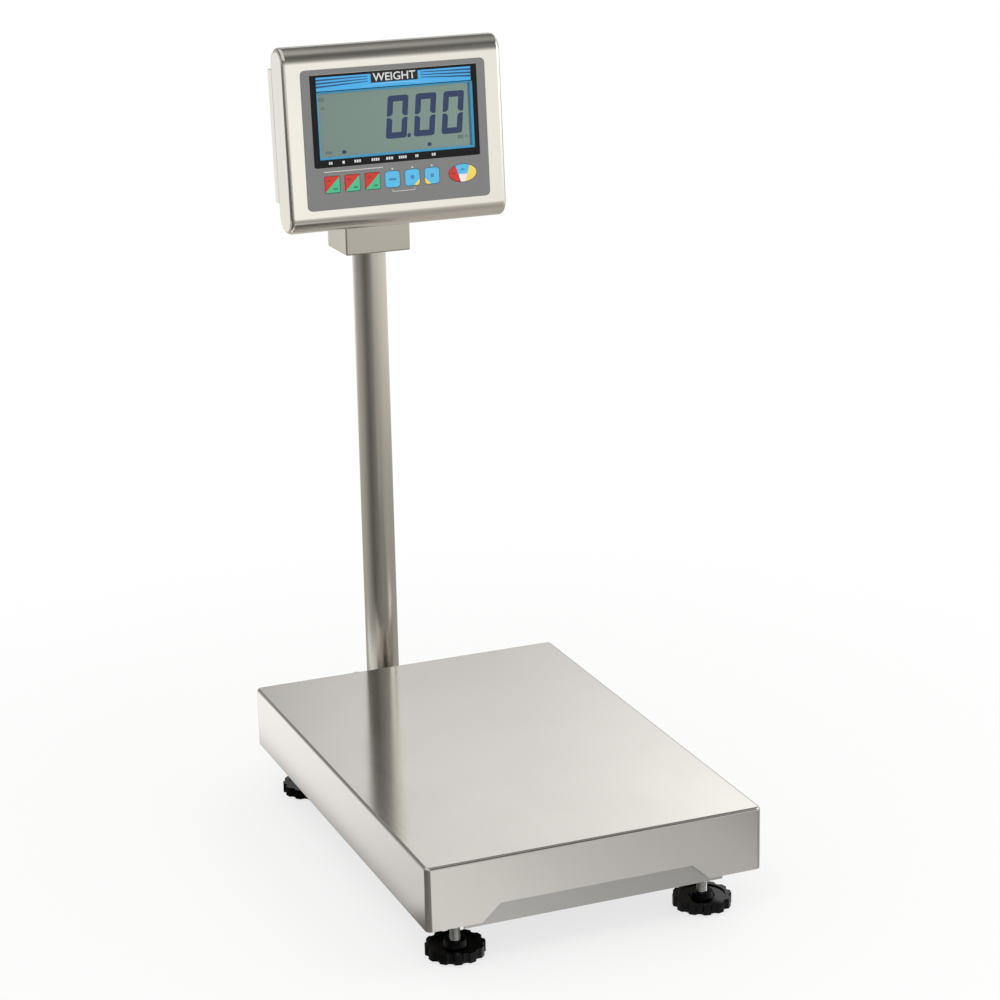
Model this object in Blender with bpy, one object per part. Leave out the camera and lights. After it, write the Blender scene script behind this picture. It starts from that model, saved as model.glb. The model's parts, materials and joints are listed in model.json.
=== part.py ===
"""Bench scale: a stainless platter over a load cell and base frame on four screw feet, with a
column at the back that carries a tilting display head with seven keys.

Metres, +Z up. The origin is on the floor, under the middle of the whole scale. The front faces -Y.
"""

from math import cos, pi, radians, sin

import bmesh
import bpy
from mathutils import Vector

# Clearances
FIT = 0.0003
OVERSHOOT = 0.001
SCREW_PLAY = 0.0003
HINGE_PLAY = 0.0006
STOP_GAP = 0.0007

# Platter: one folded sheet with a skirt on four sides, notched at the front and the back
PLATTER_WIDTH = 0.400
PLATTER_DEPTH = 0.600
PLATTER_SHEET = 0.0015
PLATTER_SKIRT = 0.0745
PLATTER_BEND = 0.003
NOTCH_WIDTH = 0.229
NOTCH_HEIGHT = 0.0195
NOTCH_FLARE = 0.0215

# Base frame: two cross members joined by a trough that holds the load cell
FRAME_LIFT = 0.0565
FRAME_HEIGHT = 0.019
FRAME_SHEET = 0.0025
FRAME_SIDE_CLEARANCE = 0.0285
CROSS_WIDTH = 0.080
SKIRT_CLEARANCE = 0.0055
TROUGH_WIDTH = 0.090
TROUGH_SHEET = 0.004
FRONT_PANEL_OVERLAP = 0.019
FRONT_PANEL_SHEET = 0.002
FRONT_PANEL_RISE = 0.031
FRONT_PANEL_DROP = 0.007

# Levelling feet
FOOT_INSET = 0.020
FOOT_BOSS_RADIUS = 0.014
STUD_RADIUS = 0.006
STUD_TOP_MARGIN = 0.002
LOCK_NUT_WIDTH = 0.019
LOCK_NUT_HEIGHT = 0.0075
FOOT_KNOB_RADIUS = 0.0335
FOOT_KNOB_LOBES = 12
FOOT_KNOB_NOTCH = 0.0032
FOOT_KNOB_LIFT = 0.0025
FOOT_KNOB_HEIGHT = 0.012
FOOT_KNOB_EDGE = 0.002
FOOT_HUB_RADIUS = 0.0120
FOOT_HUB_HEIGHT = 0.0045
STUD_SEAT = 0.0055
FOOT_PAD_RADIUS = 0.023
FOOT_PAD_HEIGHT = 0.004

# Load cell and the spider above it
CELL_LENGTH = 0.150
CELL_WIDTH = 0.040
CELL_HEIGHT = 0.035
CELL_BORE_RADIUS = 0.011
CELL_BORE_SPACING = 0.036
CELL_SLOT_HEIGHT = 0.0073
CELL_SPACER_LENGTH = 0.046
CELL_SPACER_HEIGHT = 0.004
SPIDER_HEIGHT = 0.020
SPIDER_SHEET = 0.0025
SPIDER_SPINE_WIDTH = 0.080
SPIDER_SIDE_CLEARANCE = 0.0185
SPIDER_ARM_WIDTH = 0.050
SPIDER_ARM_INSET = 0.060
CORNER_PAD_RADIUS = 0.012
CORNER_PAD_HEIGHT = 0.004
CORNER_PAD_INSET = 0.020
STOP_RADIUS = 0.004
STOP_NUT_WIDTH = 0.013
STOP_NUT_HEIGHT = 0.005
STOP_INSET = 0.055

# Column on its arm behind the platter
COLUMN_BEHIND = 0.0886
COLUMN_RADIUS = 0.021
COLUMN_SHEET = 0.002
COLUMN_LENGTH = 0.597
COLUMN_STAND = 0.0185
ARM_WIDTH = 0.076
ARM_HEIGHT = 0.0192
ARM_SHEET = 0.003
ARM_BEHIND = 0.045
FLANGE_SIZE = 0.074
FLANGE_CORNER = 0.010
FLANGE_SHEET = 0.005
FLANGE_BOLT_INSET = 0.010
BOLT_WALL_GAP = 0.0005
BOLT_RADIUS = 0.004
BOLT_HEAD_WIDTH = 0.013
BOLT_HEAD_HEIGHT = 0.004
LEAD_RADIUS = 0.003
LEAD_HEADROOM = 0.0018
LEAD_BEND_RADIUS = 0.024
LEAD_STEP = 0.012
LEAD_OPENING_LEDGE = 0.001
FRAME_LEAD_HOLE_RADIUS = 0.004
LEVEL_RADIUS = 0.012
LEVEL_HEIGHT = 0.010
LEVEL_DOME_HEIGHT = 0.002
LEVEL_LIP = 0.0018

# Neck bracket: a folded hood on top of the column, with two ears for the tilt hinge
NECK_WIDTH = 0.0844
NECK_FRONT = 0.037
NECK_BACK = 0.032
NECK_SHEET = 0.002
NECK_WALL_HEIGHT = 0.061
NECK_EAR_RADIUS = 0.020
TILT_AXIS_HEIGHT = 0.1307
TILT_AXIS_AHEAD = 0.0116
TILT_BOLT_RADIUS = 0.004
TILT_KNOB_RADIUS = 0.014
TILT_KNOB_LENGTH = 0.014
TILT_KNOB_LOBES = 6
TILT_KNOB_NOTCH = 0.0022
TILT_KNOB_EDGE = 0.002
TILT_NUT_WIDTH = 0.013
TILT_NUT_HEIGHT = 0.006

# Display head, in its own frame: the datum is the middle of the front face
HEAD_TILT = 4.0
HINGE_REACH = 0.0395
HINGE_RISE = 0.0545
CASE_WIDTH = 0.277
CASE_HEIGHT = 0.221
CASE_DEPTH = 0.047
CASE_SHEET = 0.0015
CASE_FRONT_ROLL = 0.020
CASE_REAR_ROLL = 0.022
CASE_END_ROUND = 0.003
CASE_SIDE_LIP = 0.013
CASE_END_LIP = 0.012
HOUSING_SIDE_STEP = 0.002
HOUSING_TOP_STEP = 0.0265
HOUSING_BOTTOM_STEP = 0.0345
HOUSING_SHEET = 0.0015
HOUSING_DEPTH = 0.0172
HOUSING_CHAMFER = 0.003
GASKET_HEIGHT = 0.0015
GASKET_WIDTH = 0.007
OVERLAY_SIDE_MARGIN = 0.02185
OVERLAY_END_MARGIN = 0.02725
OVERLAY_CORNER = 0.006
OVERLAY_SHEET = 0.0006
WINDOW_SIDE_MARGIN = 0.01115
WINDOW_TOP_MARGIN = 0.0063
WINDOW_CORNER = 0.0015
WINDOW_SHEET = 0.0025
LCD_SIDE_MARGIN = 0.0055
LCD_TOP_MARGIN = 0.01595
LCD_BOTTOM_MARGIN = 0.00555
LCD_THICKNESS = 0.0086
LCD_BACK_INSET = 0.010
LCD_BACK_THICKNESS = 0.004

# Keys in one row below the window, each on a dome switch
KEY_BAND_HEIGHT = 0.0507
KEY_ROW_RISE = 0.03005
SMALL_KEYS = 6
KEY_SIDE_MARGIN = 0.02245
KEY_SPACING = 0.0066
KEY_HEIGHT = 0.0196
KEY_SPLIT_CORNER = 0.001
KEY_BLUE_CORNER = 0.004
OVAL_KEY_SPACING = 0.0123
OVAL_KEY_WIDTH = 0.0360
OVAL_KEY_HEIGHT = 0.0216
OVAL_SIDE_MARGIN = 0.01675
KEY_GAP = 0.0004
KEY_PROUD = 0.0005
KEY_TRAVEL = 0.0004
KEY_THICKNESS = 0.0032
DOME_RADIUS = 0.004
DOME_HEIGHT = 0.002
SWITCH_BOARD_INSET = 0.00865
SWITCH_BOARD_HEIGHT = 0.028
BOARD_SHEET = 0.0016
SWITCH_POST_RADIUS = 0.0035

# Electronics and power inside the head. Each board part has its place, width and height.
BOARD_SIDE_GAP = 0.004
BOARD_BOTTOM_GAP = 0.028
BOARD_BACK = 0.0205
BOARD_POST_RADIUS = 0.003
BOARD_POST_INSET = 0.006
BOARD_PART_HEIGHT = 0.009
BOARD_PARTS = (
    (0.070, 0.027, 0.042, 0.032),
    (-0.024, 0.022, 0.033, 0.028),
    (0.005, -0.041, 0.071, 0.015),
)
BATTERY_WIDTH = 0.080
BATTERY_HEIGHT = 0.050
BATTERY_THICKNESS = 0.026
BATTERY_CORNER = 0.004
BATTERY_SIDE_GAP = 0.0235
BATTERY_BOTTOM_GAP = 0.0155
GLAND_BELOW_HINGE = 0.0185
GLAND_THREAD_RADIUS = 0.006
GLAND_COLLAR_RADIUS = 0.0105
GLAND_COLLAR_LENGTH = 0.005
GLAND_DOME_RADIUS = 0.009
GLAND_DOME_LENGTH = 0.0125
GLAND_NUT_RADIUS = 0.010
GLAND_NUT_LENGTH = 0.004
HINGE_PLATE_SHEET = 0.0025
HINGE_PLATE_BELOW = 0.016
HINGE_PLATE_ABOVE = 0.024
HINGE_EAR_RADIUS = 0.013

# Sizes and places that follow from the values above
FRAME_TOP = FRAME_LIFT + FRAME_HEIGHT
CELL_BOTTOM = FRAME_LIFT + TROUGH_SHEET + CELL_SPACER_HEIGHT + FIT
CELL_TOP = CELL_BOTTOM + CELL_HEIGHT
SPIDER_BOTTOM = CELL_TOP + FIT + CELL_SPACER_HEIGHT
SPIDER_TOP = SPIDER_BOTTOM + SPIDER_HEIGHT
PLATTER_TOP = SPIDER_TOP + FIT + CORNER_PAD_HEIGHT + FIT + PLATTER_SHEET
PLATTER_BOTTOM = PLATTER_TOP - PLATTER_SKIRT
CROSS_LENGTH = PLATTER_WIDTH - 2 * (PLATTER_SHEET + FRAME_SIDE_CLEARANCE)
SPIDER_ARM_LENGTH = PLATTER_WIDTH - 2 * (PLATTER_SHEET + SPIDER_SIDE_CLEARANCE)
FRONT_PANEL_WIDTH = NOTCH_WIDTH + 2 * (NOTCH_FLARE + FRONT_PANEL_OVERLAP)
PANEL_FACE_Y = -PLATTER_DEPTH / 2 + PLATTER_SHEET + SKIRT_CLEARANCE
FRAME_FACE_Y = PANEL_FACE_Y + FRONT_PANEL_SHEET + FIT
CROSS_Y = -FRAME_FACE_Y - CROSS_WIDTH / 2
FOOT_X = CROSS_LENGTH / 2 - FOOT_INSET
FIXED_END_Y = CELL_LENGTH / 2 - CELL_SPACER_LENGTH / 2
SPIDER_ARM_Y = PLATTER_DEPTH / 2 - SPIDER_ARM_INSET
STOP_X = SPIDER_ARM_LENGTH / 2 - STOP_INSET
COLUMN_Y = PLATTER_DEPTH / 2 + COLUMN_BEHIND
LEVEL_Y = PLATTER_DEPTH / 2 + (COLUMN_BEHIND - FLANGE_SIZE / 2) / 2
ARM_TOP = FRAME_TOP - FRAME_SHEET - FIT
ARM_START_Y = CROSS_Y - CROSS_WIDTH / 2 + FRAME_SHEET + FIT
ARM_END_Y = COLUMN_Y + ARM_BEHIND
FLANGE_TOP = ARM_TOP + FIT + FLANGE_SHEET
FLANGE_BOLT_X = ARM_WIDTH / 2 - ARM_SHEET - BOLT_WALL_GAP - BOLT_HEAD_WIDTH / 2 / cos(pi / 6)
FLANGE_BOLT_Y = FLANGE_SIZE / 2 - FLANGE_BOLT_INSET
LEAD_OPENING_RADIUS = COLUMN_RADIUS - COLUMN_SHEET - LEAD_OPENING_LEDGE
COLUMN_TOP = FLANGE_TOP + FIT + COLUMN_LENGTH
NECK_BOTTOM = COLUMN_TOP - COLUMN_STAND - NECK_SHEET
TILT_AXIS_Z = NECK_BOTTOM + TILT_AXIS_HEIGHT
TILT_AXIS_Y = COLUMN_Y - TILT_AXIS_AHEAD
PLATFORM_Y = -(ARM_END_Y - PLATTER_DEPTH / 2) / 2
HOUSING_FRONT = CASE_DEPTH + GASKET_HEIGHT + 2 * FIT
HOUSING_BACK = HOUSING_FRONT + HOUSING_DEPTH
HOUSING_WIDTH = CASE_WIDTH - 2 * HOUSING_SIDE_STEP
HOUSING_HEIGHT = CASE_HEIGHT - HOUSING_TOP_STEP - HOUSING_BOTTOM_STEP
HOUSING_RAISE = (HOUSING_BOTTOM_STEP - HOUSING_TOP_STEP) / 2
HOUSING_LOW = HOUSING_RAISE - HOUSING_HEIGHT / 2
AXIS_DEPTH = HOUSING_BACK + HINGE_REACH
AXIS_DROP = -HOUSING_LOW - HINGE_RISE
GLAND_DROP = AXIS_DROP + HINGE_PLATE_BELOW + GLAND_BELOW_HINGE
CASE_OPENING_WIDTH = HOUSING_WIDTH - 2 * CASE_SIDE_LIP
CASE_OPENING_HEIGHT = HOUSING_HEIGHT - 2 * CASE_END_LIP
OVERLAY_WIDTH = CASE_WIDTH - 2 * OVERLAY_SIDE_MARGIN
OVERLAY_HEIGHT = CASE_HEIGHT - 2 * OVERLAY_END_MARGIN
OVERLAY_FACE = -FIT - OVERLAY_SHEET
WINDOW_WIDTH = OVERLAY_WIDTH - 2 * WINDOW_SIDE_MARGIN
WINDOW_HEIGHT = OVERLAY_HEIGHT - WINDOW_TOP_MARGIN - KEY_BAND_HEIGHT
WINDOW_RAISE = (KEY_BAND_HEIGHT - WINDOW_TOP_MARGIN) / 2
LCD_FRONT = OVERLAY_FACE + WINDOW_SHEET + FIT
LCD_WIDTH = WINDOW_WIDTH - 2 * LCD_SIDE_MARGIN
LCD_HEIGHT = WINDOW_HEIGHT - LCD_TOP_MARGIN - LCD_BOTTOM_MARGIN
LCD_RAISE = WINDOW_RAISE + (LCD_BOTTOM_MARGIN - LCD_TOP_MARGIN) / 2
KEY_FACE = OVERLAY_FACE - KEY_PROUD
KEY_ROW_Z = KEY_ROW_RISE - OVERLAY_HEIGHT / 2
KEY_ROW_WIDTH = OVERLAY_WIDTH - KEY_SIDE_MARGIN - OVAL_KEY_SPACING - OVAL_KEY_WIDTH - OVAL_SIDE_MARGIN
KEY_WIDTH = (KEY_ROW_WIDTH - (SMALL_KEYS - 1) * KEY_SPACING) / SMALL_KEYS
KEY_FIRST = KEY_SIDE_MARGIN + KEY_WIDTH / 2 - OVERLAY_WIDTH / 2
OVAL_KEY_X = OVERLAY_WIDTH / 2 - OVAL_SIDE_MARGIN - OVAL_KEY_WIDTH / 2
SWITCH_BOARD_WIDTH = OVERLAY_WIDTH - 2 * SWITCH_BOARD_INSET
SWITCH_BOARD_FRONT = KEY_FACE + KEY_THICKNESS + KEY_TRAVEL + FIT + DOME_HEIGHT
SWITCH_POST_X = SWITCH_BOARD_WIDTH / 2 - SWITCH_POST_RADIUS
BOARD_WIDTH = CASE_OPENING_WIDTH - 2 * BOARD_SIDE_GAP
BOARD_HEIGHT = CASE_OPENING_HEIGHT - BOARD_BOTTOM_GAP
BOARD_RAISE = HOUSING_RAISE + BOARD_BOTTOM_GAP / 2
BATTERY_X = HOUSING_SHEET + BATTERY_SIDE_GAP + BATTERY_WIDTH / 2 - HOUSING_WIDTH / 2
BATTERY_Z = HOUSING_LOW + HOUSING_SHEET + BATTERY_BOTTOM_GAP + BATTERY_HEIGHT / 2

ROUND = 32
SMALL_ROUND = 16
COARSE_ROUND = 12
FOOT_STEPS = 3 * FOOT_KNOB_LOBES
SIDES = (("left", -1), ("right", 1))
CORNERS = (
    ("front_left", -1, -1),
    ("front_right", 1, -1),
    ("rear_left", -1, 1),
    ("rear_right", 1, 1),
)


def clear_scene():
    for thing in list(bpy.data.objects):
        bpy.data.objects.remove(thing)


# Outlines in a plane


def arc(centre, radius, start, end, steps):
    """Points on an arc, from one angle to another in degrees."""
    angles = [radians(start + (end - start) * i / steps) for i in range(steps + 1)]
    return [(centre[0] + radius * cos(a), centre[1] + radius * sin(a)) for a in angles]


def rectangle(width, height, corner=0.0, centre=(0.0, 0.0), steps=4):
    """A rectangle with round corners, or sharp ones where corner is 0."""
    u = width / 2 - corner
    v = height / 2 - corner
    if not corner:
        return [(centre[0] + a * u, centre[1] + b * v) for a, b in ((-1, -1), (1, -1), (1, 1), (-1, 1))]
    points = []
    for a, b, start in ((1, -1, -90), (1, 1, 0), (-1, 1, 90), (-1, -1, 180)):
        points += arc((centre[0] + a * u, centre[1] + b * v), corner, start, start + 90, steps)
    return points


def ellipse(width, height, centre=(0.0, 0.0), steps=ROUND):
    turns = [2 * pi * i / steps for i in range(steps)]
    return [(centre[0] + width / 2 * cos(t), centre[1] + height / 2 * sin(t)) for t in turns]


def circle(radius, centre=(0.0, 0.0), steps=SMALL_ROUND):
    return ellipse(2 * radius, 2 * radius, centre, steps)


def hexagon(width, centre=(0.0, 0.0)):
    """A hexagon of the given width across its flats."""
    return circle(width / 2 / cos(pi / 6), centre, 6)


def lobed(radius, notch, lobes):
    """The scalloped outline of a hand knob: each lobe has two points, with a notch between."""
    points = []
    for lobe in range(lobes):
        for part, r in ((0.0, radius - notch), (0.3, radius), (0.7, radius)):
            turn = 2 * pi * (lobe + part) / lobes
            points.append((r * cos(turn), r * sin(turn)))
    return points


# Solid shapes, each a bmesh


def lift(point, axis, height):
    """Puts a point of a plane outline into space, at a height along the axis."""
    a, b = point
    return {"X": (height, a, b), "Y": (a, height, b), "Z": (a, b, height)}[axis]


def loft(rings, closed=False):
    """Joins rings of equally many points with faces. An open loft gets a cap at each end."""
    shape = bmesh.new()
    loops = [[shape.verts.new(point) for point in ring] for ring in rings]
    pairs = list(zip(loops, loops[1:]))
    if closed:
        pairs.append((loops[-1], loops[0]))
    for first, second in pairs:
        for i in range(len(first)):
            j = (i + 1) % len(first)
            shape.faces.new((first[i], first[j], second[j], second[i]))
    if not closed:
        shape.faces.new(loops[0])
        shape.faces.new(loops[-1])
    bmesh.ops.recalc_face_normals(shape, faces=shape.faces)
    return shape


def prism(outline, axis, start, end):
    return loft([[lift(point, axis, height) for point in outline] for height in (start, end)])


def through(outline, low, high, axis="Z"):
    """A cutter that passes through all material between two heights."""
    return prism(outline, axis, low - OVERSHOOT, high + OVERSHOOT)


def screw_hole(radius, place, low, high):
    return through(circle(radius + SCREW_PLAY, place), low, high)


def block(low, high):
    outline = [(low[0], low[1]), (high[0], low[1]), (high[0], high[1]), (low[0], high[1])]
    return prism(outline, "Z", low[2], high[2])


def turned(profile, axis="Z", centre=(0.0, 0.0), steps=ROUND, closed=False):
    """A turned shape from (radius, height) points. A closed profile makes a ring or a tube."""
    return loft([[lift(p, axis, h) for p in circle(r, centre, steps)] for r, h in profile], closed)


def tube(outer, inner, low, high, axis="Z", centre=(0.0, 0.0), steps=ROUND):
    return turned([(inner, low), (outer, low), (outer, high), (inner, high)], axis, centre, steps, True)


def rounded_block(low, high, radius, picks, steps=3):
    """A block with some edges rounded. picks tells from an edge's middle if it is one of them."""
    shape = block(low, high)
    edges = [e for e in shape.edges if picks((e.verts[0].co + e.verts[1].co) / 2)]
    bmesh.ops.bevel(shape, geom=edges, offset=radius, segments=steps, profile=0.5, affect="EDGES")
    return shape


def mesh_of(shape):
    mesh = bpy.data.meshes.new("shape")
    shape.to_mesh(mesh)
    shape.free()
    return mesh


def cylinder(radius, low, high, steps):
    return mesh_of(turned([(radius, low), (radius, high)], steps=steps))


def combined(first, *steps):
    """Joins shapes to the first or cuts them from it, in order, and gives the finished mesh."""
    work = bpy.data.objects.new("work", mesh_of(first))
    helpers = [work]
    bpy.context.scene.collection.objects.link(work)
    for operation, shape in steps:
        helper = bpy.data.objects.new("helper", mesh_of(shape))
        bpy.context.scene.collection.objects.link(helper)
        helpers.append(helper)
        modifier = work.modifiers.new(operation, "BOOLEAN")
        modifier.operation = operation
        modifier.object = helper
    graph = bpy.context.evaluated_depsgraph_get()
    mesh = bpy.data.meshes.new_from_object(work.evaluated_get(graph))
    for helper in helpers:
        bpy.data.objects.remove(helper)
    return mesh


def join(shape):
    return "UNION", shape


def cut(shape):
    return "DIFFERENCE", shape


# Finishes and objects

FINISHES = {
    "brushed_stainless": ("#c9c7c2", 1.0, 0.32),
    "satin_case_steel": ("#d8d5cc", 1.0, 0.35),
    "frame_steel": ("#a9a9a6", 1.0, 0.45),
    "zinc_steel": ("#b8babd", 1.0, 0.35),
    "load_cell_aluminium": ("#c4c7ca", 1.0, 0.40),
    "black_plastic": ("#0d0d0e", 0.0, 0.30),
    "black_rubber": ("#1b1b1b", 0.0, 0.80),
    "lead_jacket": ("#2b2c2d", 0.0, 0.60),
    "grey_overlay": ("#858687", 0.0, 0.50),
    "display_glass": ("#101214", 0.0, 0.08),
    "lcd_glass": ("#7f958a", 0.0, 0.25),
    "circuit_board": ("#1d5a35", 0.0, 0.50),
    "battery_wrap": ("#27303a", 0.0, 0.50),
    "level_vial": ("#b7cf4a", 0.0, 0.10),
    "red_key": ("#e2402f", 0.0, 0.45),
    "blue_key": ("#4fb0ee", 0.0, 0.45),
    "yellow_key": ("#f3d25a", 0.0, 0.45),
}


def linear(hex_colour):
    """An sRGB hex colour as linear values."""
    values = [int(hex_colour[i : i + 2], 16) / 255 for i in (1, 3, 5)]
    return [v / 12.92 if v <= 0.04045 else ((v + 0.055) / 1.055) ** 2.4 for v in values]


def finish(name):
    if name in bpy.data.materials:
        return bpy.data.materials[name]
    colour, metallic, roughness = FINISHES[name]
    material = bpy.data.materials.new(name)
    material.use_nodes = True
    shader = material.node_tree.nodes["Principled BSDF"]
    shader.inputs["Base Color"].default_value = (*linear(colour), 1)
    shader.inputs["Metallic"].default_value = metallic
    shader.inputs["Roughness"].default_value = roughness
    return material


def datum(name, place, parent=None, turn=0.0):
    """An empty that carries pieces, on the axis of their joint where they move."""
    empty = bpy.data.objects.new(name, None)
    empty.location = place
    empty.rotation_euler.x = turn
    empty.parent = parent
    bpy.context.scene.collection.objects.link(empty)
    return empty


def add(name, mesh, look, parent, place=(0.0, 0.0, 0.0)):
    """Adds one sub-part. A shape given as a bmesh is turned into its mesh first."""
    if isinstance(mesh, bmesh.types.BMesh):
        mesh = mesh_of(mesh)
    piece = bpy.data.objects.new(name, mesh)
    bpy.context.scene.collection.objects.link(piece)
    piece.location = place
    piece.parent = parent
    if not mesh.materials:
        mesh.name = name
        mesh.materials.append(finish(look))
        mesh.shade_smooth()
        mesh.set_sharp_from_angle(angle=radians(32))
    return piece


# Base and feet


def channel(low, high, sheet):
    """A folded channel with closed ends, open underneath: the outer block and its hollow."""
    inner_low = (low[0] + sheet, low[1] + sheet, low[2] - OVERSHOOT)
    inner_high = (high[0] - sheet, high[1] - sheet, high[2] - sheet)
    return block(low, high), block(inner_low, inner_high)


def cross_box(side):
    """The corners of the front (-1) or rear (1) cross member."""
    low = (-CROSS_LENGTH / 2, side * CROSS_Y - CROSS_WIDTH / 2, FRAME_LIFT)
    high = (CROSS_LENGTH / 2, side * CROSS_Y + CROSS_WIDTH / 2, FRAME_TOP)
    return low, high


def base_frame_mesh():
    front, front_hollow = channel(*cross_box(-1), FRAME_SHEET)
    rear, rear_hollow = channel(*cross_box(1), FRAME_SHEET)
    wall = CROSS_Y - CROSS_WIDTH / 2
    reach = wall + FRAME_SHEET / 2
    half = TROUGH_WIDTH / 2
    open_half = half - FRAME_SHEET
    floor = FRAME_LIFT + TROUGH_SHEET
    trough = block((-half, -reach, FRAME_LIFT), (half, reach, FRAME_TOP))
    trough_hollow = block((-open_half, -wall, floor), (open_half, wall, FRAME_TOP + OVERSHOOT))
    spacer = block(
        (-CELL_WIDTH / 2, FIXED_END_Y - CELL_SPACER_LENGTH / 2, floor - TROUGH_SHEET / 2),
        (CELL_WIDTH / 2, FIXED_END_Y + CELL_SPACER_LENGTH / 2, CELL_BOTTOM - FIT),
    )
    arm_gate = block(
        (-ARM_WIDTH / 2 - FIT, CROSS_Y, FRAME_LIFT - OVERSHOOT),
        (ARM_WIDTH / 2 + FIT, CROSS_Y + CROSS_WIDTH / 2 + OVERSHOOT, FRAME_TOP - FRAME_SHEET),
    )
    lead_hole = through(circle(FRAME_LEAD_HOLE_RADIUS, (0.0, lead_run_z())), wall, wall + FRAME_SHEET, "Y")
    steps = [join(rear), join(trough)]
    steps += [cut(front_hollow), cut(rear_hollow), cut(trough_hollow), join(spacer)]
    for _, x, y in CORNERS:
        foot = (x * FOOT_X, y * CROSS_Y)
        boss = prism(circle(FOOT_BOSS_RADIUS, foot), "Z", FRAME_LIFT, FRAME_TOP - FRAME_SHEET / 2)
        steps += [join(boss), cut(screw_hole(STUD_RADIUS, foot, FRAME_LIFT, FRAME_TOP))]
    return combined(front, *steps, cut(arm_gate), cut(lead_hole))


def front_panel_shape():
    return block(
        (-FRONT_PANEL_WIDTH / 2, PANEL_FACE_Y, FRAME_LIFT - FRONT_PANEL_DROP),
        (FRONT_PANEL_WIDTH / 2, PANEL_FACE_Y + FRONT_PANEL_SHEET, FRAME_LIFT + FRONT_PANEL_RISE),
    )


def lobed_knob_rings(radius, notch, lobes, edge, low, high):
    """Rings of a knob's scalloped side, from its lower rim to its upper one."""
    steps = ((edge, low), (0.0, low + edge), (0.0, high - edge), (edge, high))
    return [[(*p, z) for p in lobed(radius - inset, notch, lobes)] for inset, z in steps]


def foot_knob_shape():
    """Scalloped disc with a hub. It has a seat for the rubber pad below and for the stud above."""
    low = FOOT_KNOB_LIFT
    high = low + FOOT_KNOB_HEIGHT
    pad_seat = FOOT_PAD_HEIGHT + FIT
    seat_radius = FOOT_PAD_RADIUS + FIT
    stud_hole = STUD_RADIUS + SCREW_PLAY
    hub_top = high + FOOT_HUB_HEIGHT

    def ring(radius, z):
        return [(*p, z) for p in circle(radius, steps=FOOT_STEPS)]

    rings = [ring(seat_radius, pad_seat), ring(seat_radius, low)]
    rings += lobed_knob_rings(FOOT_KNOB_RADIUS, FOOT_KNOB_NOTCH, FOOT_KNOB_LOBES, FOOT_KNOB_EDGE, low, high)
    rings.append(ring(FOOT_HUB_RADIUS + FOOT_HUB_HEIGHT, high + FOOT_HUB_HEIGHT / 4))
    rings += [ring(FOOT_HUB_RADIUS, hub_top), ring(stud_hole, hub_top), ring(stud_hole, high - STUD_SEAT)]
    return loft(rings)


def add_feet(platform):
    seat = FOOT_KNOB_LIFT + FOOT_KNOB_HEIGHT - STUD_SEAT
    stud = cylinder(STUD_RADIUS, seat + FIT, FRAME_TOP - STUD_TOP_MARGIN, SMALL_ROUND)
    knob = mesh_of(foot_knob_shape())
    pad = cylinder(FOOT_PAD_RADIUS, 0.0, FOOT_PAD_HEIGHT, FOOT_STEPS)
    nut_top = FRAME_LIFT - FIT
    nut_body = prism(hexagon(LOCK_NUT_WIDTH), "Z", nut_top - LOCK_NUT_HEIGHT, nut_top)
    nut = combined(nut_body, cut(screw_hole(STUD_RADIUS, (0.0, 0.0), nut_top - LOCK_NUT_HEIGHT, nut_top)))
    for corner, x, y in CORNERS:
        axis = datum(f"foot_axis_{corner}", (x * FOOT_X, y * CROSS_Y, 0.0), platform)
        add(f"foot_pad_{corner}", pad, "black_rubber", axis)
        add(f"foot_knob_{corner}", knob, "black_plastic", axis)
        add(f"foot_stud_{corner}", stud, "zinc_steel", axis)
        add(f"lock_nut_{corner}", nut, "zinc_steel", axis)


# Load cell, spider and platter


def load_cell_mesh():
    """Single-point cell: a bar with two bores across it, joined by a slot."""
    half = CELL_WIDTH / 2
    body = block((-half, -CELL_LENGTH / 2, CELL_BOTTOM), (half, CELL_LENGTH / 2, CELL_TOP))
    middle = (CELL_BOTTOM + CELL_TOP) / 2
    bore_y = CELL_BORE_SPACING / 2
    slot = rectangle(2 * bore_y, CELL_SLOT_HEIGHT, centre=(0.0, middle))
    outlines = [circle(CELL_BORE_RADIUS, (side * bore_y, middle)) for _, side in SIDES]
    return combined(body, *[cut(through(outline, -half, half, "X")) for outline in [*outlines, slot]])


def spider_mesh():
    """Two arms joined by a spine, all open underneath, with a spacer over the load cell's free end."""
    arms = []
    for _, side in SIDES:
        low = (-SPIDER_ARM_LENGTH / 2, side * SPIDER_ARM_Y - SPIDER_ARM_WIDTH / 2, SPIDER_BOTTOM)
        high = (SPIDER_ARM_LENGTH / 2, side * SPIDER_ARM_Y + SPIDER_ARM_WIDTH / 2, SPIDER_TOP)
        arms.append(channel(low, high, SPIDER_SHEET))
    reach = SPIDER_ARM_Y - SPIDER_ARM_WIDTH / 2 + SPIDER_SHEET / 2
    half = SPIDER_SPINE_WIDTH / 2
    spine, hollow = channel((-half, -reach, SPIDER_BOTTOM), (half, reach, SPIDER_TOP), SPIDER_SHEET)
    spacer = block(
        (-CELL_WIDTH / 2, -FIXED_END_Y - CELL_SPACER_LENGTH / 2, CELL_TOP + FIT),
        (CELL_WIDTH / 2, -FIXED_END_Y + CELL_SPACER_LENGTH / 2, SPIDER_TOP - SPIDER_SHEET / 2),
    )
    steps = [join(arms[1][0]), join(spine), cut(arms[0][1]), cut(arms[1][1]), cut(hollow), join(spacer)]
    for _, x, y in CORNERS:
        steps.append(cut(screw_hole(STOP_RADIUS, (x * STOP_X, y * SPIDER_ARM_Y), SPIDER_BOTTOM, SPIDER_TOP)))
    return combined(arms[0][0], *steps)


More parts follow.
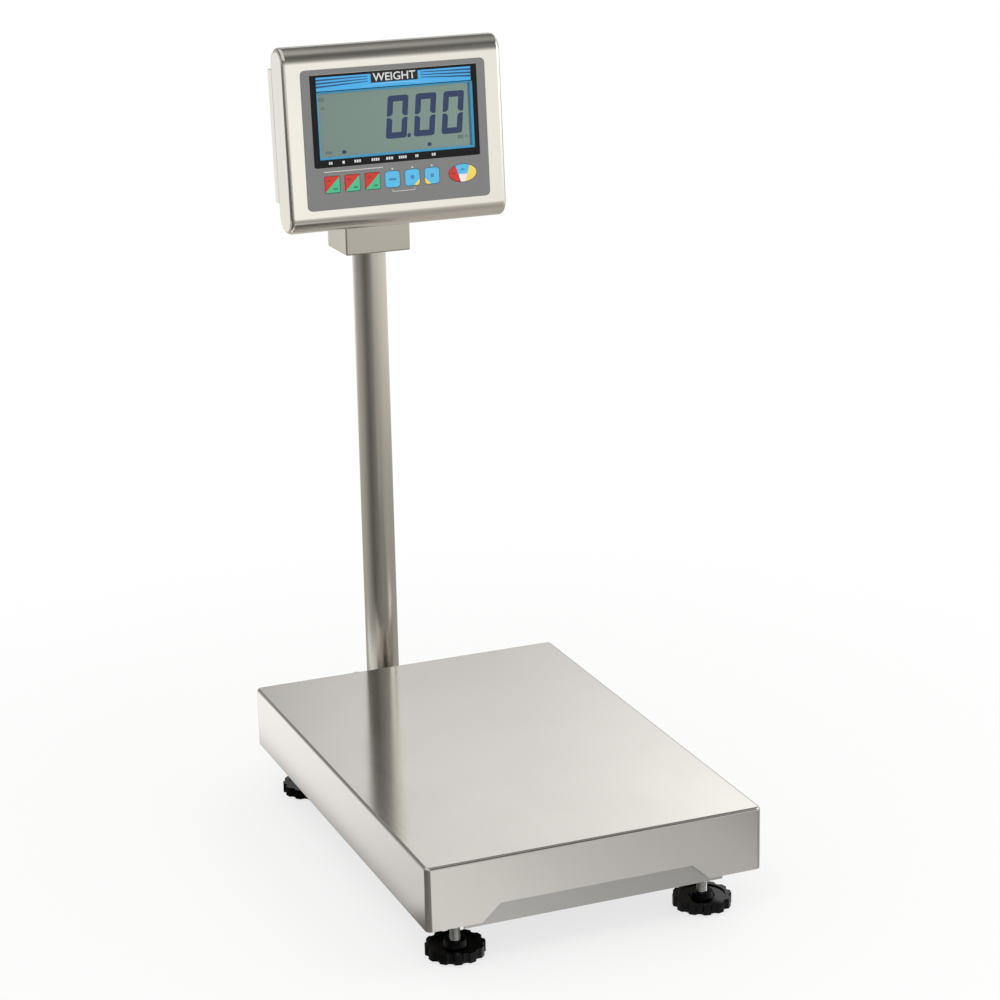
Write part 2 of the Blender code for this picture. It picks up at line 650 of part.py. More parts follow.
def stop_mesh():
    """Overload stop: a set screw in the spider with its lock nut, just clear of the base frame."""
    screw = turned([(STOP_RADIUS, FRAME_TOP + STOP_GAP), (STOP_RADIUS, SPIDER_TOP)], steps=SMALL_ROUND)
    nut_top = SPIDER_TOP - SPIDER_SHEET - FIT
    return combined(screw, join(prism(hexagon(STOP_NUT_WIDTH), "Z", nut_top - STOP_NUT_HEIGHT, nut_top)))


def platter_mesh():
    half_x = PLATTER_WIDTH / 2
    half_y = PLATTER_DEPTH / 2
    in_x = half_x - PLATTER_SHEET
    in_y = half_y - PLATTER_SHEET
    low = PLATTER_BOTTOM
    below = low - OVERSHOOT

    def folded(middle):
        return middle.z > low

    outer = rounded_block((-half_x, -half_y, low), (half_x, half_y, PLATTER_TOP), PLATTER_BEND, folded)
    inner_top = PLATTER_TOP - PLATTER_SHEET
    inner_bend = PLATTER_BEND - PLATTER_SHEET
    inner = rounded_block((-in_x, -in_y, below), (in_x, in_y, inner_top), inner_bend, folded)
    top = NOTCH_WIDTH / 2
    foot = top + NOTCH_FLARE * (1 + OVERSHOOT / NOTCH_HEIGHT)
    notch_top = low + NOTCH_HEIGHT
    notch = [(-foot, below), (foot, below), (top, notch_top), (-top, notch_top)]
    return combined(outer, cut(inner), cut(through(notch, -half_y, half_y, "Y")))


def add_load_path(platform):
    add("load_cell", load_cell_mesh(), "load_cell_aluminium", platform)
    add("load_spider", spider_mesh(), "frame_steel", platform)
    pad_bottom = SPIDER_TOP + FIT
    pad = cylinder(CORNER_PAD_RADIUS, pad_bottom, pad_bottom + CORNER_PAD_HEIGHT, SMALL_ROUND)
    stop = stop_mesh()
    pad_x = SPIDER_ARM_LENGTH / 2 - CORNER_PAD_INSET
    for corner, x, y in CORNERS:
        add(f"corner_pad_{corner}", pad, "black_rubber", platform, (x * pad_x, y * SPIDER_ARM_Y, 0.0))
        add(f"overload_stop_{corner}", stop, "zinc_steel", platform, (x * STOP_X, y * SPIDER_ARM_Y, 0.0))
    add("platter", platter_mesh(), "brushed_stainless", platform)


# Column, its arm, and the leads


def lead_run_z():
    """Height at which the load cell's lead runs back through the frame and the arm."""
    return ARM_TOP - ARM_SHEET - LEAD_HEADROOM - LEAD_RADIUS


def bolt_places():
    return [(x * FLANGE_BOLT_X, COLUMN_Y + y * FLANGE_BOLT_Y) for _, x, y in CORNERS]


def column_holes(low, high):
    """Cutters for the lead's opening and the bolt holes, which the arm and the flange share."""
    holes = [through(circle(LEAD_OPENING_RADIUS, (0.0, COLUMN_Y)), low, high)]
    holes += [screw_hole(BOLT_RADIUS, place, low, high) for place in bolt_places()]
    return [cut(hole) for hole in holes]


def column_arm_mesh():
    low = (-ARM_WIDTH / 2, ARM_START_Y, ARM_TOP - ARM_HEIGHT)
    high = (ARM_WIDTH / 2, ARM_END_Y, ARM_TOP)
    hollow = block(
        (low[0] + ARM_SHEET, low[1] - OVERSHOOT, low[2] - OVERSHOOT),
        (high[0] - ARM_SHEET, high[1] - ARM_SHEET, high[2] - ARM_SHEET),
    )
    return combined(block(low, high), cut(hollow), *column_holes(ARM_TOP - ARM_SHEET, ARM_TOP))


def column_flange_mesh():
    low = ARM_TOP + FIT
    outline = rectangle(FLANGE_SIZE, FLANGE_SIZE, FLANGE_CORNER, (0.0, COLUMN_Y))
    return combined(prism(outline, "Z", low, FLANGE_TOP), *column_holes(low, FLANGE_TOP))


def flange_bolt_mesh():
    half_head = BOLT_HEAD_HEIGHT / 2
    head_bottom = FLANGE_TOP + FIT
    nut_top = ARM_TOP - ARM_SHEET - FIT
    nut_bottom = nut_top - BOLT_HEAD_HEIGHT
    head = prism(hexagon(BOLT_HEAD_WIDTH), "Z", head_bottom, head_bottom + BOLT_HEAD_HEIGHT)
    nut = prism(hexagon(BOLT_HEAD_WIDTH), "Z", nut_bottom, nut_top)
    shank = prism(circle(BOLT_RADIUS), "Z", nut_bottom + half_head, head_bottom + half_head)
    return combined(shank, join(head), join(nut))


def bubble_level_mesh():
    """Round level on the arm: a cup with a domed glass in it."""
    low = ARM_TOP + FIT
    rim = low + LEVEL_HEIGHT - LEVEL_DOME_HEIGHT
    lip = LEVEL_RADIUS - LEVEL_LIP
    glass = lip - LEVEL_LIP
    profile = [(LEVEL_RADIUS, low), (LEVEL_RADIUS, rim - LEVEL_LIP), (lip, rim), (glass, rim)]
    profile += [(glass * cos(radians(a)), rim + LEVEL_DOME_HEIGHT * sin(radians(a))) for a in (30, 60)]
    return turned(profile, centre=(0.0, LEVEL_Y))


def smooth_route(knots):
    """Points about LEAD_STEP apart on a smooth curve through the given ones."""
    knots = [Vector(knot) for knot in knots]
    spans = [(b - a).length for a, b in zip(knots, knots[1:])]
    runs = [(b - a) / span for a, b, span in zip(knots, knots[1:], spans)]
    turns = [(x * q + y * p) / (p + q) for x, y, p, q in zip(runs, runs[1:], spans, spans[1:])]
    slopes = [runs[0], *turns, runs[-1]]
    route = []
    for a, b, start, end, span in zip(knots, knots[1:], slopes, slopes[1:], spans):
        count = max(1, round(span / LEAD_STEP))
        for t in (i / count for i in range(count)):
            blend = t * t * (3 - 2 * t)
            pull = start * (t * (1 - t) ** 2) - end * (t * t * (1 - t))
            route.append(a + (b - a) * blend + pull * span)
    return route + [knots[-1]]


def lead_curve(name, route, parent):
    """A lead with a round section along a route."""
    curve = bpy.data.curves.new(name, "CURVE")
    curve.dimensions = "3D"
    curve.bevel_depth = LEAD_RADIUS
    curve.bevel_resolution = 2
    curve.use_fill_caps = True
    spline = curve.splines.new("POLY")
    spline.points.add(len(route) - 1)
    for knot, place in zip(spline.points, route):
        knot.co = (*place, 1)
    curve.materials.append(finish("lead_jacket"))
    piece = bpy.data.objects.new(name, curve)
    bpy.context.scene.collection.objects.link(piece)
    piece.parent = parent


def lead_mouth_z():
    """Where the base's lead meets the head's, just inside the top of the column."""
    return COLUMN_TOP - 4 * LEAD_RADIUS


def add_base_lead(platform):
    """Lead from the load cell, back through the frame and the arm, and up the column."""
    run = lead_run_z()
    bend = LEAD_BEND_RADIUS
    start = CELL_LENGTH / 2 + FIT
    wall = CROSS_Y - CROSS_WIDTH / 2
    middle = (CELL_BOTTOM + CELL_TOP) / 2
    knots = [(start, middle), (start + bend / 2, middle), ((start + wall) / 2, (middle + run) / 2)]
    knots += [(wall - bend, run + LEAD_RADIUS / 2), (wall, run), (wall + 2 * bend, run)]
    knots.append((COLUMN_Y - 2 * bend, run))
    knots += arc((COLUMN_Y - bend, run + bend), bend, -90, 0, 3)
    route = smooth_route([(0.0, y, z) for y, z in knots])
    lead_curve("load_cell_lead", route + [Vector((0.0, COLUMN_Y, lead_mouth_z() - FIT))], platform)


def add_column(platform):
    add("column_arm", column_arm_mesh(), "frame_steel", platform)
    add("column_flange", column_flange_mesh(), "brushed_stainless", platform)
    bolt = flange_bolt_mesh()
    for (corner, _, _), place in zip(CORNERS, bolt_places()):
        add(f"flange_bolt_{corner}", bolt, "zinc_steel", platform, (*place, 0.0))
    inner = COLUMN_RADIUS - COLUMN_SHEET
    column = tube(COLUMN_RADIUS, inner, FLANGE_TOP + FIT, COLUMN_TOP, centre=(0.0, COLUMN_Y))
    add("column_tube", column, "brushed_stainless", platform)
    add("bubble_level", bubble_level_mesh(), "level_vial", platform)
    add_base_lead(platform)


# Neck bracket and tilt hinge, placed from the tilt axis


def neck_mesh():
    """Hood with a floor on the column, four walls, and an ear above each side wall."""
    half = NECK_WIDTH / 2
    open_half = half - NECK_SHEET
    front = TILT_AXIS_AHEAD - NECK_FRONT
    back = TILT_AXIS_AHEAD + NECK_BACK
    bottom = -TILT_AXIS_HEIGHT
    floor = bottom + NECK_SHEET
    wall_top = bottom + NECK_WALL_HEIGHT
    above = NECK_EAR_RADIUS + OVERSHOOT
    ear = arc((0.0, 0.0), NECK_EAR_RADIUS, 0, 180, 12)
    outline = [(front, bottom), (back, bottom), (back, wall_top), *ear, (front, wall_top)]
    hollow = block(
        (-open_half, front + NECK_SHEET, floor),
        (open_half, back - NECK_SHEET, wall_top + OVERSHOOT),
    )
    between_ears = block(
        (-open_half, front - OVERSHOOT, wall_top),
        (open_half, back + OVERSHOOT, above),
    )
    column_hole = through(circle(COLUMN_RADIUS + FIT, (0.0, TILT_AXIS_AHEAD), ROUND), bottom, floor)
    bolt_hole = through(circle(TILT_BOLT_RADIUS + SCREW_PLAY), -half, half, "X")
    cuts = [cut(shape) for shape in (hollow, between_ears, column_hole, bolt_hole)]
    return combined(prism(outline, "X", -half, half), *cuts)


def hinge_ear_face():
    """Distance from the middle to the outer face of each ear of the head's hinge bracket."""
    return NECK_WIDTH / 2 - NECK_SHEET - HINGE_PLAY


def tilt_knob_mesh(side):
    """Hand knob and its bolt, which goes through the neck's ear and the head's bracket."""
    start = NECK_WIDTH / 2 + FIT
    end = start + TILT_KNOB_LENGTH
    middle = (start + end) / 2
    tip = hinge_ear_face() - HINGE_PLATE_SHEET - TILT_NUT_HEIGHT
    rings = lobed_knob_rings(TILT_KNOB_RADIUS, TILT_KNOB_NOTCH, TILT_KNOB_LOBES, TILT_KNOB_EDGE, start, end)
    knob = loft([[(side * x, y, z) for y, z, x in ring] for ring in rings])
    bolt = prism(circle(TILT_BOLT_RADIUS), "X", side * tip, side * middle)
    return combined(knob, join(bolt))


def hinge_bracket_mesh(plate_face):
    """U bracket on the back of the head: a plate, two ears and a nut welded inside each ear."""
    face = hinge_ear_face()
    plate_back = plate_face + HINGE_PLATE_SHEET
    body = block((-face, plate_face, -HINGE_PLATE_BELOW), (face, plate_back, HINGE_PLATE_ABOVE))
    root = plate_back - HINGE_PLATE_SHEET / 2
    tip = arc((0.0, 0.0), HINGE_EAR_RADIUS, -90, 90, 10)
    ear = [(root, -HINGE_EAR_RADIUS), *tip, (root, HINGE_EAR_RADIUS)]
    steps = []
    for _, side in SIDES:
        inside = side * (face - HINGE_PLATE_SHEET)
        steps.append(join(prism(ear, "X", *sorted((side * face, inside)))))
        nut_end = inside - side * TILT_NUT_HEIGHT
        nut_start = side * (face - HINGE_PLATE_SHEET / 2)
        steps.append(join(prism(hexagon(TILT_NUT_WIDTH), "X", *sorted((nut_start, nut_end)))))
    hole = through(circle(TILT_BOLT_RADIUS + SCREW_PLAY), -face, face, "X")
    return combined(body, *steps, cut(hole))


# Display head, in the frame of its front face: X across, Y into the case, Z up


def case_outline(inset):
    """Side outline of the case, with rolled front edges and larger rolls at the back."""
    half = CASE_HEIGHT / 2
    front = CASE_FRONT_ROLL
    back = CASE_REAR_ROLL
    points = []
    for y, z, roll, start in (
        (front, -half + front, front, 180),
        (CASE_DEPTH - back, -half + back, back, 270),
        (CASE_DEPTH - back, half - back, back, 0),
        (front, half - front, front, 90),
    ):
        points += arc((y, z), roll - inset, start, start + 90, 6)
    return points


def shell_mesh(openings):
    half = CASE_WIDTH / 2
    body = prism(case_outline(0.0), "X", -half, half)
    ends = [e for e in body.edges if abs(e.verts[0].co.x - e.verts[1].co.x) < FIT]
    bmesh.ops.bevel(body, geom=ends, offset=CASE_END_ROUND, segments=3, profile=0.5, affect="EDGES")
    hollow = prism(case_outline(CASE_SHEET), "X", -half + CASE_SHEET, half - CASE_SHEET)
    opening = rectangle(CASE_OPENING_WIDTH, CASE_OPENING_HEIGHT, centre=(0.0, HOUSING_RAISE))
    back = through(opening, CASE_DEPTH - CASE_SHEET, CASE_DEPTH, "Y")
    return combined(body, cut(hollow), cut(back), *[cut(shape) for shape in openings])


def window_outline(gap=0.0):
    size = (WINDOW_WIDTH + 2 * gap, WINDOW_HEIGHT + 2 * gap)
    return rectangle(*size, WINDOW_CORNER + gap, (0.0, WINDOW_RAISE), 2)


def key_table():
    """Each key's name, place along the row, outline function and finish."""

    def square(corner):
        def outline(centre, gap=0.0):
            return rectangle(KEY_WIDTH + 2 * gap, KEY_HEIGHT + 2 * gap, corner + gap, centre, 2)

        return outline

    def oval(centre, gap=0.0):
        return ellipse(OVAL_KEY_WIDTH + 2 * gap, OVAL_KEY_HEIGHT + 2 * gap, centre, 24)

    row = [("key_split", KEY_SPLIT_CORNER, "red_key"), ("key_blue", KEY_BLUE_CORNER, "blue_key")]
    keys = []
    for group, (name, corner, look) in enumerate(row):
        for place, word in enumerate(("left", "middle", "right")):
            x = KEY_FIRST + (KEY_WIDTH + KEY_SPACING) * (SMALL_KEYS // 2 * group + place)
            keys.append((f"{name}_{word}", x, square(corner), look))
    return keys + [("key_oval", OVAL_KEY_X, oval, "yellow_key")]


def through_front(outline):
    """A cutter that goes through the overlay and the front of the case."""
    return through(outline, KEY_FACE, CASE_SHEET, "Y")


def front_openings():
    """Fresh cutters for the window and the keys, a little larger than the pieces in them."""
    outlines = [outline((x, KEY_ROW_Z), KEY_GAP) for _, x, outline, _ in key_table()]
    return [through_front(points) for points in [window_outline(FIT), *outlines]]


def tray(inset, front, back):
    """A block along Y with its back edges chamfered, inset all round from the housing's outline."""
    width = HOUSING_WIDTH - 2 * inset
    height = HOUSING_HEIGHT - 2 * inset
    slope = 2 * HOUSING_CHAMFER
    sizes = [(width, height), (width, height), (width - slope, height - slope)]
    outlines = [rectangle(*size, centre=(0.0, HOUSING_RAISE)) for size in sizes]
    depths = (front, back - HOUSING_CHAMFER, back)
    return loft([[lift(p, "Y", y) for p in outline] for outline, y in zip(outlines, depths)])


def housing_mesh():
    outer = tray(0.0, HOUSING_FRONT, HOUSING_BACK)
    inside = HOUSING_BACK - HOUSING_SHEET
    inner = tray(HOUSING_SHEET, HOUSING_FRONT - OVERSHOOT, inside)
    hole = circle(GLAND_THREAD_RADIUS + SCREW_PLAY, (0.0, -GLAND_DROP))
    return combined(outer, cut(inner), cut(through(hole, inside, HOUSING_BACK, "Y")))


def gasket_mesh():
    low = CASE_DEPTH + FIT
    high = low + GASKET_HEIGHT
    centre = (0.0, HOUSING_RAISE)
    outer = rectangle(HOUSING_WIDTH, HOUSING_HEIGHT, centre=centre)
    inner = rectangle(HOUSING_WIDTH - 2 * GASKET_WIDTH, HOUSING_HEIGHT - 2 * GASKET_WIDTH, centre=centre)
    return combined(prism(outer, "Y", low, high), cut(through(inner, low, high, "Y")))


def lcd_mesh():
    centre = (0.0, LCD_RAISE)
    middle = LCD_FRONT + LCD_THICKNESS
    glass = rectangle(LCD_WIDTH, LCD_HEIGHT, centre=centre)
    back = rectangle(LCD_WIDTH - 2 * LCD_BACK_INSET, LCD_HEIGHT - 2 * LCD_BACK_INSET, centre=centre)
    carrier = prism(back, "Y", middle - OVERSHOOT, middle + LCD_BACK_THICKNESS)
    return combined(prism(glass, "Y", LCD_FRONT, middle), join(carrier))


def switch_board_mesh():
    """Board behind the keys: a dome switch under each key, and a post at each end."""
    front = SWITCH_BOARD_FRONT
    inside = front + BOARD_SHEET / 2
    outline = rectangle(SWITCH_BOARD_WIDTH, SWITCH_BOARD_HEIGHT, centre=(0.0, KEY_ROW_Z))
    steps = []
    for _, x, _, _ in key_table():
        dome = circle(DOME_RADIUS, (x, KEY_ROW_Z), COARSE_ROUND)
        steps.append(join(prism(dome, "Y", front - DOME_HEIGHT, inside)))
    for _, side in SIDES:
        post = circle(SWITCH_POST_RADIUS, (side * SWITCH_POST_X, KEY_ROW_Z), COARSE_ROUND)
        steps.append(join(prism(post, "Y", CASE_SHEET + FIT, inside)))
    return combined(prism(outline, "Y", front, front + BOARD_SHEET), *steps)


def main_board_mesh():
    """Main board on four posts from the front of the case, with a transformer, a relay and a plug strip."""
    front = BOARD_BACK
    back = front + BOARD_SHEET
    middle = front + BOARD_SHEET / 2
    outline = rectangle(BOARD_WIDTH, BOARD_HEIGHT, centre=(0.0, BOARD_RAISE))
    steps = []
    post_x = BOARD_WIDTH / 2 - BOARD_POST_INSET
    post_z = BOARD_HEIGHT / 2 - BOARD_POST_INSET
    for _, x, z in CORNERS:
        post = circle(BOARD_POST_RADIUS, (x * post_x, BOARD_RAISE + z * post_z), COARSE_ROUND)
        steps.append(join(prism(post, "Y", CASE_SHEET + FIT, middle)))
    for x, z, width, height in BOARD_PARTS:
        part = rectangle(width, height, centre=(x, BOARD_RAISE + z))
        steps.append(join(prism(part, "Y", middle, back + BOARD_PART_HEIGHT)))
    return combined(prism(outline, "Y", front, back), *steps)


def battery_shape():
    back = HOUSING_BACK - HOUSING_SHEET - FIT
    outline = rectangle(BATTERY_WIDTH, BATTERY_HEIGHT, BATTERY_CORNER, (BATTERY_X, BATTERY_Z), 2)
    return prism(outline, "Y", back - BATTERY_THICKNESS, back)


def gland_shape():
    """Cable gland: a nut inside the housing, the thread through its wall, a collar and a dome nut."""
    wall_in = HOUSING_BACK - HOUSING_SHEET - FIT
    wall_out = HOUSING_BACK + FIT
    collar = wall_out + GLAND_COLLAR_LENGTH
    end = collar + GLAND_DOME_LENGTH
    bore = LEAD_RADIUS + FIT
    profile = [
        (bore, wall_in - GLAND_NUT_LENGTH),
        (GLAND_NUT_RADIUS, wall_in - GLAND_NUT_LENGTH),
        (GLAND_NUT_RADIUS, wall_in),
        (GLAND_THREAD_RADIUS, wall_in),
        (GLAND_THREAD_RADIUS, wall_out),
        (GLAND_COLLAR_RADIUS, wall_out),
        (GLAND_COLLAR_RADIUS, collar),
        (GLAND_DOME_RADIUS, collar),
        (GLAND_DOME_RADIUS, end - GLAND_DOME_LENGTH / 3),
        (bore + LEAD_RADIUS / 2, end),
        (bore, end),
    ]
    return turned(profile, "Y", (0.0, -GLAND_DROP), SMALL_ROUND, True)


def add_keys(head):
    for name, x, outline, look in key_table():
        key = prism(outline((0.0, 0.0)), "Y", 0.0, KEY_THICKNESS)
        add(name, key, look, head, (x, KEY_FACE, KEY_ROW_Z))


def add_head_lead(platform, head):
    """Short lead from the column's mouth, through the gland, into the head."""
    bpy.context.view_layer.update()
    to_platform = platform.matrix_world.inverted() @ head.matrix_world
    gland_end = HOUSING_BACK + FIT + GLAND_COLLAR_LENGTH + GLAND_DOME_LENGTH
    depths = (HOUSING_BACK - LEAD_BEND_RADIUS / 2, gland_end, gland_end + LEAD_BEND_RADIUS / 4)
    inside, mouth, beyond = [to_platform @ Vector((0.0, depth, -GLAND_DROP)) for depth in depths]
    crest = (beyond + Vector((0.0, COLUMN_Y, beyond.z))) / 2
    crest.z -= LEAD_BEND_RADIUS / 4
    knots = [
        Vector((0.0, COLUMN_Y, lead_mouth_z())),
        Vector((0.0, COLUMN_Y, COLUMN_TOP)),
        Vector((0.0, COLUMN_Y, beyond.z - 1.5 * LEAD_BEND_RADIUS)),
        crest,
        beyond,
        mouth,
        inside,
    ]
    lead_curve("head_lead", smooth_route(knots), platform)


def add_head(platform):
    axis = datum("tilt_axis", (0.0, TILT_AXIS_Y, TILT_AXIS_Z), platform, -radians(HEAD_TILT))
    fixed_axis = datum("neck_axis", (0.0, TILT_AXIS_Y, TILT_AXIS_Z), platform)
    add("neck_bracket", neck_mesh(), "brushed_stainless", fixed_axis)
    for word, side in SIDES:
        add(f"tilt_knob_{word}", tilt_knob_mesh(side), "black_plastic", fixed_axis)
    add("hinge_bracket", hinge_bracket_mesh(HOUSING_BACK + FIT - AXIS_DEPTH), "brushed_stainless", axis)
    head = datum("head_face", (0.0, -AXIS_DEPTH, AXIS_DROP), axis)
    add("front_shell", shell_mesh(front_openings()), "satin_case_steel", head)
    add("rear_housing", housing_mesh(), "satin_case_steel", head)
    add("housing_gasket", gasket_mesh(), "black_rubber", head)
    sheet = prism(rectangle(OVERLAY_WIDTH, OVERLAY_HEIGHT, OVERLAY_CORNER), "Y", OVERLAY_FACE, -FIT)
    overlay = combined(sheet, *[cut(shape) for shape in front_openings()])
    add("keypad_overlay", overlay, "grey_overlay", head)
    window = prism(window_outline(), "Y", OVERLAY_FACE, OVERLAY_FACE + WINDOW_SHEET)
    add("display_window", window, "display_glass", head)
    add("lcd_module", lcd_mesh(), "lcd_glass", head)
    add("switch_board", switch_board_mesh(), "circuit_board", head)
    add("main_board", main_board_mesh(), "circuit_board", head)
    add("battery_pack", battery_shape(), "battery_wrap", head)
    add("cable_gland", gland_shape(), "black_plastic", head)
    add_keys(head)
    add_head_lead(platform, head)


def main():
    clear_scene()
    platform = datum("platform", (0.0, PLATFORM_Y, 0.0))
    add("base_frame", base_frame_mesh(), "frame_steel", platform)
    add("front_panel", front_panel_shape(), "brushed_stainless", platform)
    add_feet(platform)
    add_load_path(platform)
    add_column(platform)
    add_head(platform)


main()
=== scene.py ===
"""Bench scale: the visible pieces of a platform scale, their finishes, and the studio around them.

Metres, +Z up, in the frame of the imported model. The front of the scale faces -Y.
"""

import json
import logging
import math
from collections.abc import Callable, Iterator, Sequence
from contextlib import contextmanager
from dataclasses import dataclass, field
from enum import Enum

import bmesh
import bpy
from mathutils import Matrix, Vector


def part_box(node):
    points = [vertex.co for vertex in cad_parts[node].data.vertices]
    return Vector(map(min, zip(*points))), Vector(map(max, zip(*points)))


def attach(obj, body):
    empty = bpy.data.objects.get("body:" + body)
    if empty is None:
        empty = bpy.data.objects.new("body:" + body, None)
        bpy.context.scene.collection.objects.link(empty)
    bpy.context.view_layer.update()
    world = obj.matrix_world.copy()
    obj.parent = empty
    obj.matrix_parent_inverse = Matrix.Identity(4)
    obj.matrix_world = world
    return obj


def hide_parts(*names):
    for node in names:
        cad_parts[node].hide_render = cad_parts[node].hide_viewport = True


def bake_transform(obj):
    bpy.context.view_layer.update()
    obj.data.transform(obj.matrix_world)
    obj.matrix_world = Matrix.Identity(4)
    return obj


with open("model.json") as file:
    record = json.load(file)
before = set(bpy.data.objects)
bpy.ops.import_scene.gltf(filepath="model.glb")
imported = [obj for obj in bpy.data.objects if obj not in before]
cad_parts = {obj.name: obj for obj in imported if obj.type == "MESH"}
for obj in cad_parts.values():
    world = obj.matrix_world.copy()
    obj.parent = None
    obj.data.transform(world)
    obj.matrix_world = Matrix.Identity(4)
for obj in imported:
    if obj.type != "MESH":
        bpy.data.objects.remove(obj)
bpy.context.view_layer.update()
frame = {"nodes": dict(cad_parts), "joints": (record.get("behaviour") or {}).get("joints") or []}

log = logging.getLogger("bench_scale")

Point = tuple[float, float]
Place = tuple[float, float, float]
Test = Callable[[Vector, Vector], bool]

MM = 0.001
# A place within NEAR of a level lies on it, and corners within SAME of each other are one
NEAR, SAME = 1e-5, 1e-6
# Faces that meet at less than this angle are one flat face
FLAT = math.radians(0.5)
CORNERS = {"front_left": (-1, -1), "front_right": (1, -1), "rear_left": (-1, 1), "rear_right": (1, 1)}
SIDES = {"left": -1, "right": 1}


class Element(Enum):
    """What a choice in edit mode picks."""

    CORNER = "VERT"
    EDGE = "EDGE"
    FACE = "FACE"


class Axis(Enum):
    """The way a round piece stands, as the turn from upright."""

    X = (0.0, math.pi / 2, 0.0)
    Y = (-math.pi / 2, 0.0, 0.0)
    Z = (0.0, 0.0, 0.0)


# Modelling by hand: each helper is one move that a modeller makes


def let_go() -> None:
    """Leaves edit mode and drops every selection."""
    if bpy.context.mode != "OBJECT":
        bpy.ops.object.mode_set(mode="OBJECT")
    bpy.ops.object.select_all(action="DESELECT")


def take(*pieces: bpy.types.Object) -> None:
    """Selects only these pieces, the first of them active.

    Args:
        *pieces: The pieces.
    """
    let_go()
    for piece in pieces:
        piece.select_set(True)
    bpy.context.view_layer.objects.active = pieces[0]


def settle(piece: bpy.types.Object) -> bpy.types.Object:
    """Puts a piece's place, turn and scale into its mesh.

    Args:
        piece: The piece.

    Returns:
        The same piece.
    """
    take(piece)
    bpy.ops.object.transform_apply(location=True, rotation=True, scale=True)
    return piece


def newest(name: str) -> bpy.types.Object:
    """Names the primitive that was added last, and settles it.

    Args:
        name: The piece's name.

    Returns:
        The piece.
    """
    piece = bpy.context.object
    piece.name = piece.data.name = name
    return settle(piece)


def block(name: str, low: Sequence[float], high: Sequence[float]) -> bpy.types.Object:
    """Adds a block.

    Args:
        name: The piece's name.
        low: Its lowest corner.
        high: Its highest corner.

    Returns:
        The piece.
    """
    let_go()
    middle = [(a + b) / 2 for a, b in zip(low, high)]
    bpy.ops.mesh.primitive_cube_add(size=1, location=middle)
    bpy.context.object.scale = [b - a for a, b in zip(low, high)]
    return newest(name)


def disc(
    name: str,
    radius: float,
    low: float,
    high: float,
    centre: Place = (0.0, 0.0, 0.0),
    axis: Axis = Axis.Z,
    sides: int = 64,
) -> bpy.types.Object:
    """Adds a round block or a prism along an axis.

    Args:
        name: The piece's name.
        radius: Its radius, to the corners.
        low: Where it starts along the axis, from the centre.
        high: Where it ends along the axis.
        centre: A point on its axis.
        axis: The way it stands.
        sides: How many sides it has.

    Returns:
        The piece.
    """
    let_go()
    step = {Axis.X: Vector((1, 0, 0)), Axis.Y: Vector((0, 1, 0)), Axis.Z: Vector((0, 0, 1))}[axis]
    middle = Vector(centre) + step * (low + high) / 2
    bpy.ops.mesh.primitive_cylinder_add(
        vertices=sides, radius=radius, depth=high - low, location=middle, rotation=axis.value
    )
    return newest(name)


def plate(name: str, outline: Sequence[Point], front: float, back: float) -> bpy.types.Object:
    """Adds a flat plate from its outline across X and Z: a flat disc whose corners are moved, then extruded.

    Args:
        name: The piece's name.
        outline: Its corners as (x, z).
        front: Where its front face lies along Y.
        back: Where its back face lies along Y.

    Returns:
        The piece.
    """
    let_go()
    bpy.ops.mesh.primitive_circle_add(vertices=len(outline), radius=0.01, fill_type="NGON")
    piece = newest(name)
    for corner, (x, z) in zip(piece.data.vertices, outline):
        corner.co = (x, front, z)
    with editing(piece):
        bpy.ops.mesh.select_all(action="SELECT")
        extrude((0.0, back - front, 0.0))
        outward()
    return piece


@contextmanager
def editing(piece: bpy.types.Object) -> Iterator[None]:
    """Holds a piece in edit mode.

    Args:
        piece: The piece.

    Returns:
        What a with statement enters and leaves.
    """
    take(piece)
    bpy.ops.object.mode_set(mode="EDIT")
    yield
    bpy.ops.object.mode_set(mode="OBJECT")


def choose(piece: bpy.types.Object, element: Element, test: Test) -> None:
    """Selects what passes the test, in edit mode.

    Args:
        piece: The piece in edit mode.
        element: Corners, edges or faces.
        test: Takes an element's middle and its direction: a face's or corner's normal, or an edge's run.
    """
    bpy.ops.mesh.select_mode(type=element.value)
    bpy.ops.mesh.select_all(action="DESELECT")
    shape = bmesh.from_edit_mesh(piece.data)
    if element is Element.FACE:
        for face in shape.faces:
            face.select_set(test(face.calc_center_median(), face.normal))
    elif element is Element.EDGE:
        for edge in shape.edges:
            a, b = (corner.co for corner in edge.verts)
            edge.select_set(test((a + b) / 2, (b - a).normalized()))
    else:
        for corner in shape.verts:
            corner.select_set(test(corner.co, corner.normal))
    shape.select_flush_mode()
    bmesh.update_edit_mesh(piece.data)


def extrude(way: Place) -> None:
    """Extrudes the selection in edit mode."""
    bpy.ops.mesh.extrude_region_move(TRANSFORM_OT_translate={"value": way})


def outward() -> None:
    """Turns every face of the piece in edit mode outwards."""
    bpy.ops.mesh.select_all(action="SELECT")
    bpy.ops.mesh.normals_make_consistent(inside=False)


def round_edges(piece: bpy.types.Object, width: float, segments: int, test: Test) -> None:
    """Rounds the edges that pass the test.

    Args:
        piece: The piece.
        width: The round's radius.
        segments: How many faces it has.
        test: Takes an edge's middle and its run.
    """
    with editing(piece):
        choose(piece, Element.EDGE, test)
        bpy.ops.mesh.bevel(offset=width, segments=segments, profile=0.5, affect="EDGES", clamp_overlap=True)


